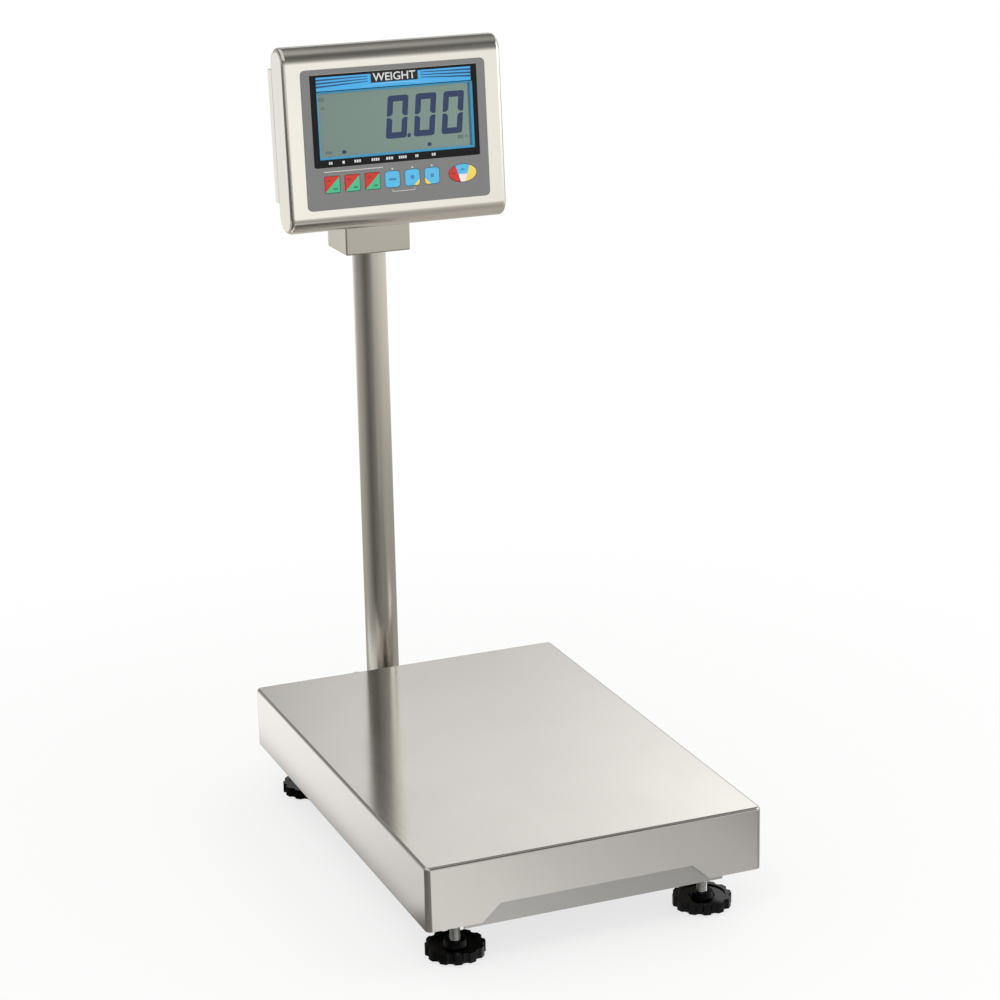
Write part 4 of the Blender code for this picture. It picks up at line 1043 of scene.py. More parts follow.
@dataclass
class Column:
    """The round column, on a flange and an arm behind the platter, with a round level."""

    wall: float = 2.0 * MM
    flange_round: float = 10 * MM
    mouth: float = 18 * MM
    weld_ring: float = 22 * MM
    weld: float = 1.6 * MM
    weld_rise: float = 1.2 * MM
    bolt_radius: float = 4.0 * MM
    bolt_flats: float = 13 * MM
    bolt_fit: float = 0.3 * MM
    washer: float = 7.9 * MM
    washer_sheet: float = 1.3 * MM
    cup_wall: float = 2.0 * MM
    cup_well: float = 3.0 * MM
    dome_rise: float = 1.8 * MM
    dome_inset: float = 2.3 * MM
    dome_depth: float = 5.0 * MM
    ring: Point = (3.6 * MM, 4.2 * MM)
    ring_film: float = 0.12 * MM
    centre: Vector = field(default_factory=lambda: sum(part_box("column_tube"), Vector()) / 2)

    def build(self) -> None:
        """Builds the arm, the flange with its bolts, the tube and the level."""
        dress(traced("column_arm", "arm_channel", 0.8 * MM, 3), "base", "frame_steel", FRAME_STEEL)
        self.tube()
        self.flange()
        self.bolts()
        self.level()

    def tube(self) -> None:
        """Draws the tube, open at both ends."""
        low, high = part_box("column_tube")
        radius = (high.x - low.x) / 2
        tube = disc("column_pipe", radius, low.z, high.z, (0.0, self.centre.y, 0.0), sides=128)
        with editing(tube):
            choose(tube, Element.FACE, lambda middle, normal: abs(normal.z) > 0.5)
            bpy.ops.mesh.delete(type="FACE")
        apply_modifier(tube, "SOLIDIFY", thickness=self.wall, offset=-1.0)
        soften(tube, 0.3 * MM)
        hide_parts("column_tube")
        dress(tube, "base", "brushed_stainless", TUBE_STEEL)

    def bolt_places(self) -> list[tuple[str, Vector]]:
        """Gives each flange bolt's corner and its place."""
        return [(corner, sum(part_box(f"flange_bolt_{corner}"), Vector()) / 2) for corner in CORNERS]

    def flange(self) -> None:
        """Makes the flange plate with its holes, and the weld round the tube's foot."""
        low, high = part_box("column_flange")
        sheet = block("flange_plate", low, high)
        round_edges(sheet, self.flange_round, 8, lambda middle, run: abs(run.z) > 0.5)
        bottom, top = low.z - MM, high.z + MM
        for _, place in self.bolt_places():
            middle = (place.x, place.y, 0.0)
            hole = disc("hole", self.bolt_radius + self.bolt_fit, bottom, top, middle, sides=32)
            combine(sheet, "DIFFERENCE", hole)
        combine(sheet, "DIFFERENCE", disc("mouth", self.mouth, bottom, top, (0.0, self.centre.y, 0.0)))
        soften(sheet, 0.6 * MM)
        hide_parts("column_flange")
        dress(sheet, "base", "brushed_stainless", PLATTER_STEEL)
        let_go()
        bpy.ops.mesh.primitive_torus_add(
            location=(0.0, self.centre.y, high.z + self.weld_rise),
            major_radius=self.weld_ring,
            minor_radius=self.weld,
            major_segments=96,
            minor_segments=12,
        )
        dress(soften(newest("weld_bead"), 0.0), "base", "brushed_stainless", FRAME_STEEL)

    def bolts(self) -> None:
        """Makes one hexagon bolt with its washer and nut, and copies it to the flange's corners."""
        low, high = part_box("flange_bolt_front_left")
        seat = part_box("column_flange")[1].z
        under = seat + self.washer_sheet
        height = high.z - seat
        head = FASTENERS.nut("head", self.bolt_flats, under, high.z)
        washer = soften(disc("washer", self.washer, seat, under, sides=48), 0.2 * MM)
        nut = FASTENERS.nut("nut", self.bolt_flats, low.z, low.z + height)
        shank = soften(disc("shank", self.bolt_radius, low.z + height / 2, seat + MM, sides=32), 0.0)
        bolt = merged("bolt", head, washer, nut, shank)
        for corner, place in self.bolt_places():
            piece = copy_of(bolt, f"flange_bolt_fine_{corner}", Matrix.Translation((place.x, place.y, 0.0)))
            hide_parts(f"flange_bolt_{corner}")
            dress(piece, "base", "zinc_steel", ZINC)
        bpy.data.objects.remove(bolt)

    def level(self) -> None:
        """Makes the round level: a black cup, its tinted dome and the ring that the bubble is read by."""
        low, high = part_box("bubble_level")
        centre = ((low.x + high.x) / 2, (low.y + high.y) / 2, 0.0)
        radius = (high.x - low.x) / 2
        cup = disc("level_cup", radius, low.z, high.z - self.dome_rise, centre)
        inset_face(cup, lambda middle, normal: normal.z > 0.5, self.cup_wall, -self.cup_well)
        dress(soften(cup, 0.4 * MM), "base", "black_plastic", NYLON)
        dome = disc("level_dome", radius - self.dome_inset, high.z - self.dome_depth, high.z, centre)
        round_edges(dome, self.dome_rise, 6, lambda middle, run: middle.z > high.z - 0.1 * MM)
        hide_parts("bubble_level")
        dress(soften(dome, 0.0), "base", "level_vial", VIAL)
        inner, outer = self.ring
        ring = disc("level_ring", outer, high.z, high.z + self.ring_film, centre, sides=48)
        combine(ring, "DIFFERENCE", disc("middle", inner, high.z - MM, high.z + MM, centre, sides=48))
        dress(soften(ring, 0.0), "base", "level_vial", ink(Ink.LABEL_BLACK))


# Display head. Its pieces are modelled in the frame of the case's front face, X across, Y into the case
# and Z up it, and are then hung on the tilt axis.


@dataclass
class Head:
    """What every piece of the head shares: its frame, and how a piece is hung in it."""

    tilt: float = math.radians(4.0)
    axis_depth: float = 105.8 * MM
    axis_drop: float = 21.5 * MM

    def matrix(self) -> Matrix:
        """Gives the move from the front face's frame to the model's.

        Returns:
            The move.
        """
        axis = next(joint["pos_m"] for joint in frame["joints"] if joint["name"] == "head_tilt")
        turn = Matrix.Rotation(-self.tilt, 4, "X")
        return Matrix.Translation(axis) @ turn @ Matrix.Translation((0.0, -self.axis_depth, self.axis_drop))

    def hang(
        self, piece: bpy.types.Object, slot: str, *finishes: Finish, body: str = "head", node: str = ""
    ) -> bpy.types.Object:
        """Hangs a piece in the head and dresses it.

        Args:
            piece: The piece, in the front face's frame.
            slot: The record's material slot.
            *finishes: Its finishes.
            body: The body that it moves with.
            node: The node that it stands for, or none.

        Returns:
            The piece.
        """
        moved(piece, self.matrix())
        if node:
            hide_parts(node)
        return dress(piece, body, slot, *finishes)

    def print_on(
        self,
        name: str,
        outlines: Sequence[Sequence[Point]],
        span: Point,
        slot: str,
        colour: Ink,
        body: str = "head",
    ) -> None:
        """Prints flat shapes in one ink.

        Args:
            name: The piece's name.
            outlines: The outline of each shape.
            span: Where the ink's front and its back lie.
            slot: The record's material slot.
            colour: The ink.
            body: The body that it moves with.
        """
        shapes = [plate(name, outline, *span) for outline in outlines]
        self.hang(soften(merged(name, *shapes), 0.0), slot, ink(colour), body=body)


@dataclass
class Case(Head):
    """The display case: a rolled front shell, a rear housing on a gasket, and the lead's gland."""

    width: float = 277 * MM
    height: float = 221 * MM
    depth: float = 47 * MM
    sheet: float = 1.5 * MM
    front_roll: float = 20 * MM
    rear_roll: float = 22 * MM
    end_round: float = 5.5 * MM
    opening: tuple[Point, Point] = ((-123.5 * MM, 123.5 * MM), (-64 * MM, 72 * MM))
    window: tuple[Point, Point] = ((-104 * MM, 104 * MM), (-66 * MM, 75 * MM))
    housing_back: float = 66.3 * MM
    screw_head: Point = (3.4 * MM, 2.0 * MM)
    gland_drop: float = 56 * MM
    gland_seat: float = 0.3 * MM
    collar: Point = (10.5 * MM, 5 * MM)
    dome: Point = (9.2 * MM, 17 * MM)
    dome_round: float = 4.0 * MM
    flutes: int = 12
    flute: float = 1.3 * MM
    flute_reach: float = 10 * MM
    flute_span: Point = (4 * MM, 13 * MM)
    gland_bore: float = 3.3 * MM
    screw_places: tuple[Point, ...] = (
        (-120 * MM, -65 * MM),
        (0.0, -68 * MM),
        (120 * MM, -65 * MM),
        (-120 * MM, 73 * MM),
        (0.0, 76 * MM),
        (120 * MM, 73 * MM),
    )

    def build(self) -> None:
        """Builds the shell and what is behind it."""
        self.shell()
        back = traced("rear_housing", "rear_cover", 0.7 * MM, 3)
        dress(back, "head", "case_steel", CASE_STEEL)
        repaint(RUBBER, "housing_gasket")
        self.screws()
        self.gland()

    def rolled(self, name: str, inset: float) -> bpy.types.Object:
        """Makes the case's outer form, or its hollow.

        Args:
            name: The piece's name.
            inset: How far it lies inside the outer form.

        Returns:
            The piece.
        """
        half = self.width / 2 - inset
        tall = self.height / 2 - inset
        middle_depth = self.depth / 2
        body = block(name, (-half, inset, -tall), (half, self.depth - inset, tall))
        round_edges(
            body,
            self.front_roll - inset,
            12,
            lambda middle, run: abs(run.x) > 0.5 and middle.y < middle_depth,
        )
        round_edges(
            body,
            self.rear_roll - inset,
            12,
            lambda middle, run: abs(run.x) > 0.5 and middle.y > middle_depth and abs(middle.z) > tall - NEAR,
        )
        return body

    def shell(self) -> None:
        """Rolls the front shell and opens it for the window, the keys and the rear housing."""
        body = self.rolled("case_shell", 0.0)
        edge = self.width / 2 - NEAR
        round_edges(body, self.end_round, 4, lambda middle, run: abs(middle.x) > edge)
        tools = [self.rolled("hollow", self.sheet)]
        for (left, right), (low, high), near, far in (
            (*self.window, -MM, 5 * MM),
            (*self.opening, self.depth - 5 * MM, self.depth + MM),
        ):
            tools.append(block("opening", (left, near, low), (right, far, high)))
        combine(body, "DIFFERENCE", *tools)
        soften(body, 0.0, angle=30)
        self.hang(body, "case_steel", CASE_STEEL, node="front_shell")

    def screws(self) -> None:
        """Sets the cover screws round the back of the housing."""
        head = FASTENERS.pan_head("screw", *self.screw_head)
        for number, (x, z) in enumerate(self.screw_places):
            screw = copy_of(head, f"cover_screw_{number + 1}", Matrix.Translation((x, self.housing_back, z)))
            self.hang(screw, "zinc_steel", ZINC)
        bpy.data.objects.remove(head)

    def gland(self) -> None:
        """Makes the gland: a hexagon collar, and a fluted dome nut that closes on the lead."""
        start = self.housing_back + self.gland_seat
        centre = (0.0, start, -self.gland_drop)
        (wide, seat), (radius, length) = self.collar, self.dome
        collar = soften(disc("collar", wide, 0.0, seat, centre, Axis.Y, sides=6), 0.5 * MM)
        dome = disc("dome", radius, seat, length, centre, Axis.Y, sides=96)
        scallop(dome, self.flutes, self.flute_reach, self.flute, self.flute_span, centre, Axis.Y, sides=16)
        end = start + length - 0.1 * MM
        round_edges(dome, self.dome_round, 6, lambda middle, run: middle.y > end)
        bore = disc("bore", self.gland_bore, -2 * MM, length + 3 * MM, centre, Axis.Y, sides=48)
        combine(dome, "DIFFERENCE", bore)
        soften(dome, 0.0)
        self.hang(merged("cable_gland_fine", collar, dome), "black_plastic", NYLON, node="cable_gland")


@dataclass
class Display(Head):
    """The window in the case: its black frame, the printed header, and the glass with its digits."""

    frame_size: tuple[Point, Point] = ((-105.5 * MM, 105.5 * MM), (-32.5 * MM, 76.9 * MM))
    bezel_corner: float = 1.5 * MM
    front: float = -0.9 * MM
    back: float = 1.6 * MM
    view: tuple[Point, Point] = ((-98 * MM, 100 * MM), (-23.5 * MM, 56.7 * MM))
    glass: tuple[Point, Point] = ((-100.0 * MM, 100.0 * MM), (-26.9 * MM, 61.0 * MM))
    glass_front: float = 1.9 * MM
    glass_depth: float = 8.6 * MM
    lining: float = 2.6 * MM
    lining_front: float = 0.2 * MM
    lining_sheet: float = 0.15 * MM
    # Width of the strip of painted shade at the glass's right edge
    shade: float = 3.2 * MM
    header: tuple[Point, Point] = ((-98 * MM, 98 * MM), (57.6 * MM, 73.9 * MM))
    header_label: tuple[Point, Point] = ((-29.2 * MM, 30.4 * MM), (63.2 * MM, 76.4 * MM))
    ray_tips: Point = (-33 * MM, 34 * MM)
    ray_heights: tuple[Point, ...] = ((70.6 * MM, 71.4 * MM), (66.6 * MM, 68.4 * MM), (62.6 * MM, 65.4 * MM))
    ray_halves: Point = (1.05 * MM, 0.45 * MM)
    arc_half: float = 46 * MM
    arc_low: float = 59.2 * MM
    arc_rise: float = 3.2 * MM
    arc_hollow: float = 0.72
    word_size: Point = (54 * MM, 9.6 * MM)
    word_place: Point = (0.6 * MM, 65.0 * MM)
    word_bold: float = 0.012
    word_depth: float = 0.055385 * MM
    digit_low: float = -5 * MM
    digit_height: float = 51 * MM
    digit_width: float = 26.5 * MM
    digit_lefts: tuple[float, ...] = (-13.3 * MM, 22.4 * MM, 58.1 * MM)
    stroke: float = 7.2 * MM
    bend: float = 2.6 * MM
    slant: float = 0.105
    point: tuple[float, float, float] = (4.2 * MM, 4.6 * MM, 1.0 * MM)
    point_place: Point = (3.3 * MM, 2.4 * MM)
    film: float = 0.06 * MM
    # Small marks on the glass, in millimetres: middle across and up, width, height, and ink
    small_marks: tuple[tuple[float, float, float, float, Ink], ...] = (
        (-91.5, 47.5, 7.5, 4.5, Ink.FAINT),
        (-90.5, 37.0, 4.0, 3.0, Ink.FAINT),
        (-86.0, -15.5, 9.0, 3.6, Ink.FAINT),
        (-66.5, -16.0, 5.0, 4.0, Ink.DIGIT),
        (42.0, -15.5, 5.0, 4.0, Ink.DIGIT),
        (82.5, -9.5, 7.0, 4.6, Ink.FAINT),
        (90.0, -9.5, 3.0, 3.0, Ink.FAINT),
    )
    # Groups of white ticks below the glass, in millimetres: middle across and width
    tick_groups: tuple[Point, ...] = (
        (-85.0, 5.0),
        (-68.5, 4.0),
        (-51.0, 9.0),
        (-28.5, 10.5),
        (-10.4, 9.5),
        (6.2, 10.5),
        (24.3, 4.5),
        (46.0, 5.5),
    )
    tick_step: float = 3.0
    tick_share: float = 0.72
    tick_span: Point = (-29.3 * MM, -26.1 * MM)

    def build(self) -> None:
        """Builds the window from its frame inwards."""
        self.window_frame()
        self.print_header()
        self.glass_panel()
        self.digits()
        self.marks()

    def on_window(self, name: str, outlines: Sequence[Sequence[Point]], colour: Ink, layer: int = 1) -> None:
        """Prints shapes on the window's face, on a layer of ink from 1."""
        top = self.front - self.film * layer
        self.print_on(name, outlines, (top, top + self.film), "window_glass", colour)

    def on_glass(self, name: str, outlines: Sequence[Sequence[Point]], colour: Ink) -> None:
        """Draws shapes on the liquid crystal glass."""
        self.print_on(name, outlines, (self.glass_front - self.film, self.glass_front), "lcd_glass", colour)

    def window_frame(self) -> None:
        """Makes the black frame with its opening, and the blue lining inside it."""
        (left, right), (low, high) = self.frame_size
        (in_left, in_right), (in_low, in_high) = self.view
        middle = ((left + right) / 2, (low + high) / 2)
        outline = rounded(right - left, high - low, self.bezel_corner, middle)
        outer = plate("window_bezel", outline, self.front, self.back)
        hole = block("hole", (in_left, -5 * MM, in_low), (in_right, 5 * MM, in_high))
        combine(outer, "DIFFERENCE", hole)
        self.hang(soften(outer, 0.2 * MM), "window_glass", WINDOW_ACRYLIC, node="display_window")
        back = self.glass_front - 0.05 * MM
        lining = block("window_lining", (in_left, self.lining_front, in_low), (in_right, back, in_high))
        with editing(lining):
            choose(lining, Element.FACE, lambda middle, normal: abs(normal.y) > 0.5)
            bpy.ops.mesh.delete(type="FACE")
            choose(lining, Element.CORNER, lambda place, _: place.y > MM)
            wide, tall = in_right - in_left, in_high - in_low
            shrink = ((wide - 2 * self.lining) / wide, 1.0, (tall - 2 * self.lining) / tall)
            centre = ((in_left + in_right) / 2, 0.0, (in_low + in_high) / 2)
            bpy.ops.transform.resize(value=shrink, center_override=centre)
        apply_modifier(lining, "SOLIDIFY", thickness=self.lining_sheet, offset=0.0)
        self.hang(soften(lining, 0.0), "window_glass", LINING)

    def print_header(self) -> None:
        """Prints the header: a blue band, night-blue rays to both sides of its label, and an arc under it."""
        (left, right), (low, high) = self.header
        self.on_window("header_band", [quad(left, right, low, high)], Ink.HEADER_BLUE)
        across, up = self.header_label
        self.on_window("header_label", [quad(*across, *up)], Ink.LABEL_BLACK, 2)
        self.word()
        thick, thin = self.ray_halves
        for side, edge, inner in zip(SIDES, (left, right), self.ray_tips):
            for ray, (z, tip) in enumerate(self.ray_heights):
                outline = [(edge, z - thick), (inner, tip - thin), (inner, tip + thin), (edge, z + thick)]
                self.on_window(f"header_ray_{side}_{ray + 1}", [outline], Ink.HEADER_NIGHT, 2)
        arc = []
        for way, share in ((1, 1.0), (-1, self.arc_hollow)):
            for step in range(17):
                x = way * (-1 + step / 8) * self.arc_half
                arc.append((x, self.arc_low + self.arc_rise * (1 - (x / self.arc_half) ** 2) * share))
        self.on_window("header_arc", [arc], Ink.HEADER_LIGHT, 2)

    def word(self) -> None:
        """Prints the plain word over the display that says what it shows."""
        let_go()
        bpy.ops.object.text_add()
        letters = bpy.context.object
        letters.data.body = "WEIGHT"
        letters.data.align_x = "CENTER"
        letters.data.offset = self.word_bold
        letters.data.resolution_u = 4
        bpy.ops.object.convert(target="MESH")
        letters = newest("header_word")
        (wide, tall, _), (width, height), (x, z) = letters.dimensions, self.word_size, self.word_place
        apply_modifier(letters, "SOLIDIFY", thickness=self.word_depth * tall / height, offset=1.0)
        stretch = Matrix.Diagonal((width / wide, height / tall, height / tall, 1.0))
        stand = Matrix.Rotation(math.pi / 2, 4, "X")
        moved(letters, Matrix.Translation((x, self.front - 2 * self.film, z)) @ stand @ stretch)
        with editing(letters):
            outward()
        self.hang(soften(letters, 0.0), "window_glass", ink(Ink.WHITE))

    def glass_panel(self) -> None:
        """Makes the liquid crystal glass and the painted shade at its right edge: a dark strip that stands in
        for shade.
        """
        (left, right), (low, high) = self.glass
        front = self.glass_front
        panel = block("lcd_panel", (left, front, low), (right, front + self.glass_depth, high))
        self.hang(soften(panel, 0.3 * MM), "lcd_glass", LCD, node="lcd_module")
        # A strip of painted shade along the glass's right edge, inside the lining
        (_, right), (low, high) = self.view
        edge = right - self.lining
        shade = quad(edge - self.shade, edge, low + self.lining, high - self.lining)
        self.on_glass("lcd_edge_shade", [shade], Ink.SHADE)

    def leaned(self, outline: Sequence[Point], left: float) -> list[Point]:
        """Moves a digit's outline to its place and leans it.

        Args:
            outline: Corners from the digit's own lower left.
            left: Where the digit starts.

        Returns:
            The corners on the glass.
        """
        return [(left + x + self.slant * z, self.digit_low + z) for x, z in outline]

    def digits(self) -> None:
        """Draws the three zeros, six strokes each, and the decimal point."""
        wide, tall, thick, bend = self.digit_width, self.digit_height, self.stroke, self.bend
        waist = tall / 2 + 1.0 * MM
        shoulder = tall - 0.2 * MM
        # The upper level stroke, clockwise from its outer left corner
        level = [
            (bend, shoulder),
            (bend + 1.2 * MM, tall),
            (wide - bend - 1.2 * MM, tall),
            (wide - bend, shoulder),
            (wide - thick, tall - thick),
            (thick, tall - thick),
        ]
        # The upper left stroke, from the waist up its inner side and down its outer side
        upright = [
            (0.3 * MM, waist),
            (thick * 0.6, waist),
            (thick, waist + 0.375 * thick),
            (thick, tall - thick),
            (bend, shoulder),
            (bend * 0.3, tall - bend * 0.35),
            (0.0, tall - bend),
            (0.0, waist + 0.6 * MM),
        ]
        strokes = []
        for flip_x in (False, True):
            for flip_z in (False, True):
                strokes.append([(wide - x if flip_x else x, tall - z if flip_z else z) for x, z in upright])
        strokes.append(level)
        strokes.append([(x, tall - z) for x, z in level])
        for number, left in enumerate(self.digit_lefts):
            self.on_glass(f"digit_{number + 1}", [self.leaned(stroke, left) for stroke in strokes], Ink.DIGIT)
        across, rise = self.point_place
        point = self.leaned(rounded(*self.point, steps=3), self.digit_lefts[0] + wide + across)
        self.on_glass("decimal_point", [[(x, z + rise) for x, z in point]], Ink.DIGIT)

    def marks(self) -> None:
        """Draws the small marks on the glass, and the row of white ticks below it."""
        for number, (x, z, wide, tall, colour) in enumerate(self.small_marks):
            outline = rounded(wide * MM, tall * MM, 0.7 * MM, (x * MM, z * MM), 3)
            self.on_glass(f"glass_mark_{number + 1}", [outline], colour)
        for number, (x, wide) in enumerate(self.tick_groups):
            count = max(1, round(wide / self.tick_step))
            step = wide / count
            lefts = [x - wide / 2 + bar * step for bar in range(count)]
            bars = [quad(left * MM, (left + step * self.tick_share) * MM, *self.tick_span) for left in lefts]
            self.on_window(f"strip_tick_{number + 1}", bars, Ink.WHITE)


@dataclass
class Keypad(Head):
    """The printed film over the case's front, and the seven keys in it."""

    width: float = 233.3 * MM
    height: float = 166.5 * MM
    corner: float = 6.0 * MM
    film_front: float = -0.9 * MM
    film_back: float = -0.3 * MM
    key_front: float = -1.4 * MM
    key_back: float = 1.8 * MM
    key_row: float = -53.2 * MM
    key_height: float = 19.6 * MM
    key_gap: float = 0.4 * MM
    oval_half: float = 10.8 * MM
    crown: float = 0.9 * MM
    split_corner: float = 1.0 * MM
    blue_corner: float = 4.0 * MM
    opening: tuple[float, float, float, Point] = (211.6 * MM, 110.0 * MM, 1.8 * MM, (0.0, 22.2 * MM))
    ink_depth: float = 0.06 * MM
    mark_depth: float = 0.05 * MM
    # Guide lines in millimetres: left, right, low and high of each bar
    guides: tuple[tuple[str, tuple[tuple[float, ...], ...]], ...] = (
        ("guide_rule", ((-94.5, -20, -38.3, -37.5),)),
        ("guide_bracket", ((-8.5, 19, -68.2, -67.6), (-9.1, -8.5, -68.2, -65.6), (19, 19.6, -68.2, -65.6))),
    )
    # Guide tips in millimetres: their middles, half their width, and where they start and end
    tips: tuple[float, ...] = (-8.2, 17.4, 42.4)
    tip_size: tuple[float, float, float] = (1.6, -41.6, -39.4)

    def build(self) -> None:
        """Builds the film, its print and the keys."""
        keys = self.key_boxes()
        self.film(keys)
        self.print_lines()
        for name, (centre, wide) in keys.items():
            self.key(name, centre, wide)

    def key_boxes(self) -> dict[str, Point]:
        """Measures the keys across the keypad.

        Returns:
            Each key's middle and width, by its node.
        """
        keys = {}
        for node in frame["nodes"]:
            if node.startswith("key_"):
                low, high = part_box(node)
                keys[node] = ((low.x + high.x) / 2, high.x - low.x)
        return keys

    def key_outline(self, name: str, centre: float, wide: float, gap: float = 0.0) -> list[Point]:
        """Gives a key's outline, or that of its hole.

        Args:
            name: The key's name.
            centre: Its middle along X.
            wide: Its width.
            gap: How much larger the hole is all round.

        Returns:
            The corners as (x, z).
        """
        if name == "key_oval":
            across, up = wide / 2 + gap, self.oval_half + gap
            turns = [2 * math.pi * step / 64 for step in range(64)]
            return [(centre + across * math.cos(t), self.key_row + up * math.sin(t)) for t in turns]
        corner = self.split_corner if "split" in name else self.blue_corner
        return rounded(wide + 2 * gap, self.key_height + 2 * gap, corner + gap, (centre, self.key_row))

    def film(self, keys: dict[str, Point]) -> None:
        """Cuts the film to its outline, and opens it for the window and the keys.

        Args:
            keys: Each key's middle and width, by its node.
        """
        outline = rounded(self.width, self.height, self.corner, steps=10)
        sheet = plate("keypad_film", outline, self.film_front, self.film_back)
        openings = [rounded(*self.opening)]
        for name, (centre, wide) in keys.items():
            openings.append(self.key_outline(name, centre, wide, self.key_gap))
        holes = [plate("hole", opening, -5 * MM, 5 * MM) for opening in openings]
        combine(sheet, "DIFFERENCE", *holes)
        self.hang(soften(sheet, 0.15 * MM), "overlay_film", FILM, node="keypad_overlay")

    def print_lines(self) -> None:
        """Prints the white guide lines round the keys, and the small tips over the blue ones."""
        lines = {name: [quad(*(edge * MM for edge in bar)) for bar in bars] for name, bars in self.guides}
        half, low, high = self.tip_size
        for number, x in enumerate(self.tips):
            tip = [((x - half) * MM, low * MM), ((x + half) * MM, low * MM), (x * MM, high * MM)]
            lines[f"guide_tip_{number + 1}"] = [tip]
        span = (self.film_front - self.ink_depth, self.film_front)
        for name, outlines in lines.items():
            self.print_on(name, outlines, span, "overlay_film", Ink.WHITE)

    def key_slot(self, name: str) -> str:
        """Gives a key's material slot."""
        return "oval_key" if name == "key_oval" else "blue_key" if "blue" in name else "red_green_key"

    def key(self, name: str, centre: float, wide: float) -> None:
        """Makes one key, cut into its coloured fields.

        Args:
            name: The key's node.
            centre: Its middle along X.
            wide: Its width.
        """
        cap = plate(f"{name}_cap", self.key_outline(name, centre, wide), self.key_front, self.key_back)
        front = self.key_front + NEAR
        round_edges(cap, self.crown, 4, lambda middle, run: middle.y < front)
        fields = self.fields(name, centre, wide)
        with editing(cap):
            for place, normal, _ in fields[1:]:
                bpy.ops.mesh.select_all(action="SELECT")
                bpy.ops.mesh.bisect(plane_co=place, plane_no=normal)
        soften(cap, 0.0)
        colours = list(dict.fromkeys(colour for _, _, colour in fields))
        self.hang(cap, self.key_slot(name), *(ink(colour) for colour in colours), body=name, node=name)
        back = self.matrix().inverted()
        for face in cap.data.polygons:
            middle = back @ face.center
            shade = fields[0][2]
            for place, normal, colour in fields[1:]:
                if (middle - Vector(place)).dot(Vector(normal)) > 0:
                    shade = colour
            face.material_index = colours.index(shade)
        self.legend(name, centre)

    def fields(self, name: str, centre: float, wide: float) -> list[tuple[Place, Place, Ink]]:
        """Gives a key's coloured fields: the first fills it, and each later one lies beyond a plane.

        Args:
            name: The key's node.
            centre: Its middle along X.
            wide: Its width.

        Returns:
            A point on the plane, the plane's normal and the ink, for each field.
        """
        middle = (centre, 0.0, self.key_row)
        if "split" in name:
            return [(middle, (0, 0, 0), Ink.RED), (middle, (1.0, 0.0, -1.0), Ink.GREEN)]
        if name == "key_oval":
            return [
                (middle, (0, 0, 0), Ink.BLUE),
                ((centre, 0.0, self.key_row - 1.2 * MM), (0.0, 0.0, -1.0), Ink.KEY_WHITE),
                ((centre - 6.2 * MM, 0.0, self.key_row), (-1.0, 0.0, -0.32), Ink.RED),
                ((centre + 6.2 * MM, 0.0, self.key_row), (1.0, 0.0, -0.32), Ink.YELLOW),
            ]
        fields = [(middle, (0, 0, 0), Ink.BLUE)]
        side = {"key_blue_middle": 1, "key_blue_right": -1}.get(name)
        if side:
            place = (centre + side * wide * 0.3, 0.0, self.key_row - wide * 0.3)
            fields.append((place, (side * 1.0, 0.0, -1.0), Ink.YELLOW))
        return fields

    def legend(self, name: str, centre: float) -> None:
        """Prints a small plain mark on each field of a key.

        Args:
            name: The key's node.
            centre: Its middle along X.
        """
        # In millimetres from the key's middle: across and up, width, height, and ink
        marks = {
            "split": ((-4.2, 4.6, 5.0, 2.2, Ink.DARK_RED), (3.8, -5.4, 5.4, 2.2, Ink.DARK_GREEN)),
            "blue_left": ((0.0, 0.0, 9.5, 2.8, Ink.DARK_BLUE),),
            "blue": ((0.0, 0.6, 4.6, 4.6, Ink.DARK_BLUE),),
            "oval": ((-12.0, 0.0, 4.4, 2.4, Ink.DARK_RED), (0.0, 4.4, 5.0, 2.2, Ink.DARK_BLUE)),
        }
        key = next(part for part in marks if part in name)
        span = (self.key_front - self.mark_depth, self.key_front)
        for number, (x, z, wide, tall, colour) in enumerate(marks[key]):
            middle = (centre + x * MM, self.key_row + z * MM)
            outline = rounded(wide * MM, tall * MM, tall * 0.3 * MM, middle, 4)
            self.print_on(f"{name}_mark_{number + 1}", [outline], span, self.key_slot(name), colour, name)


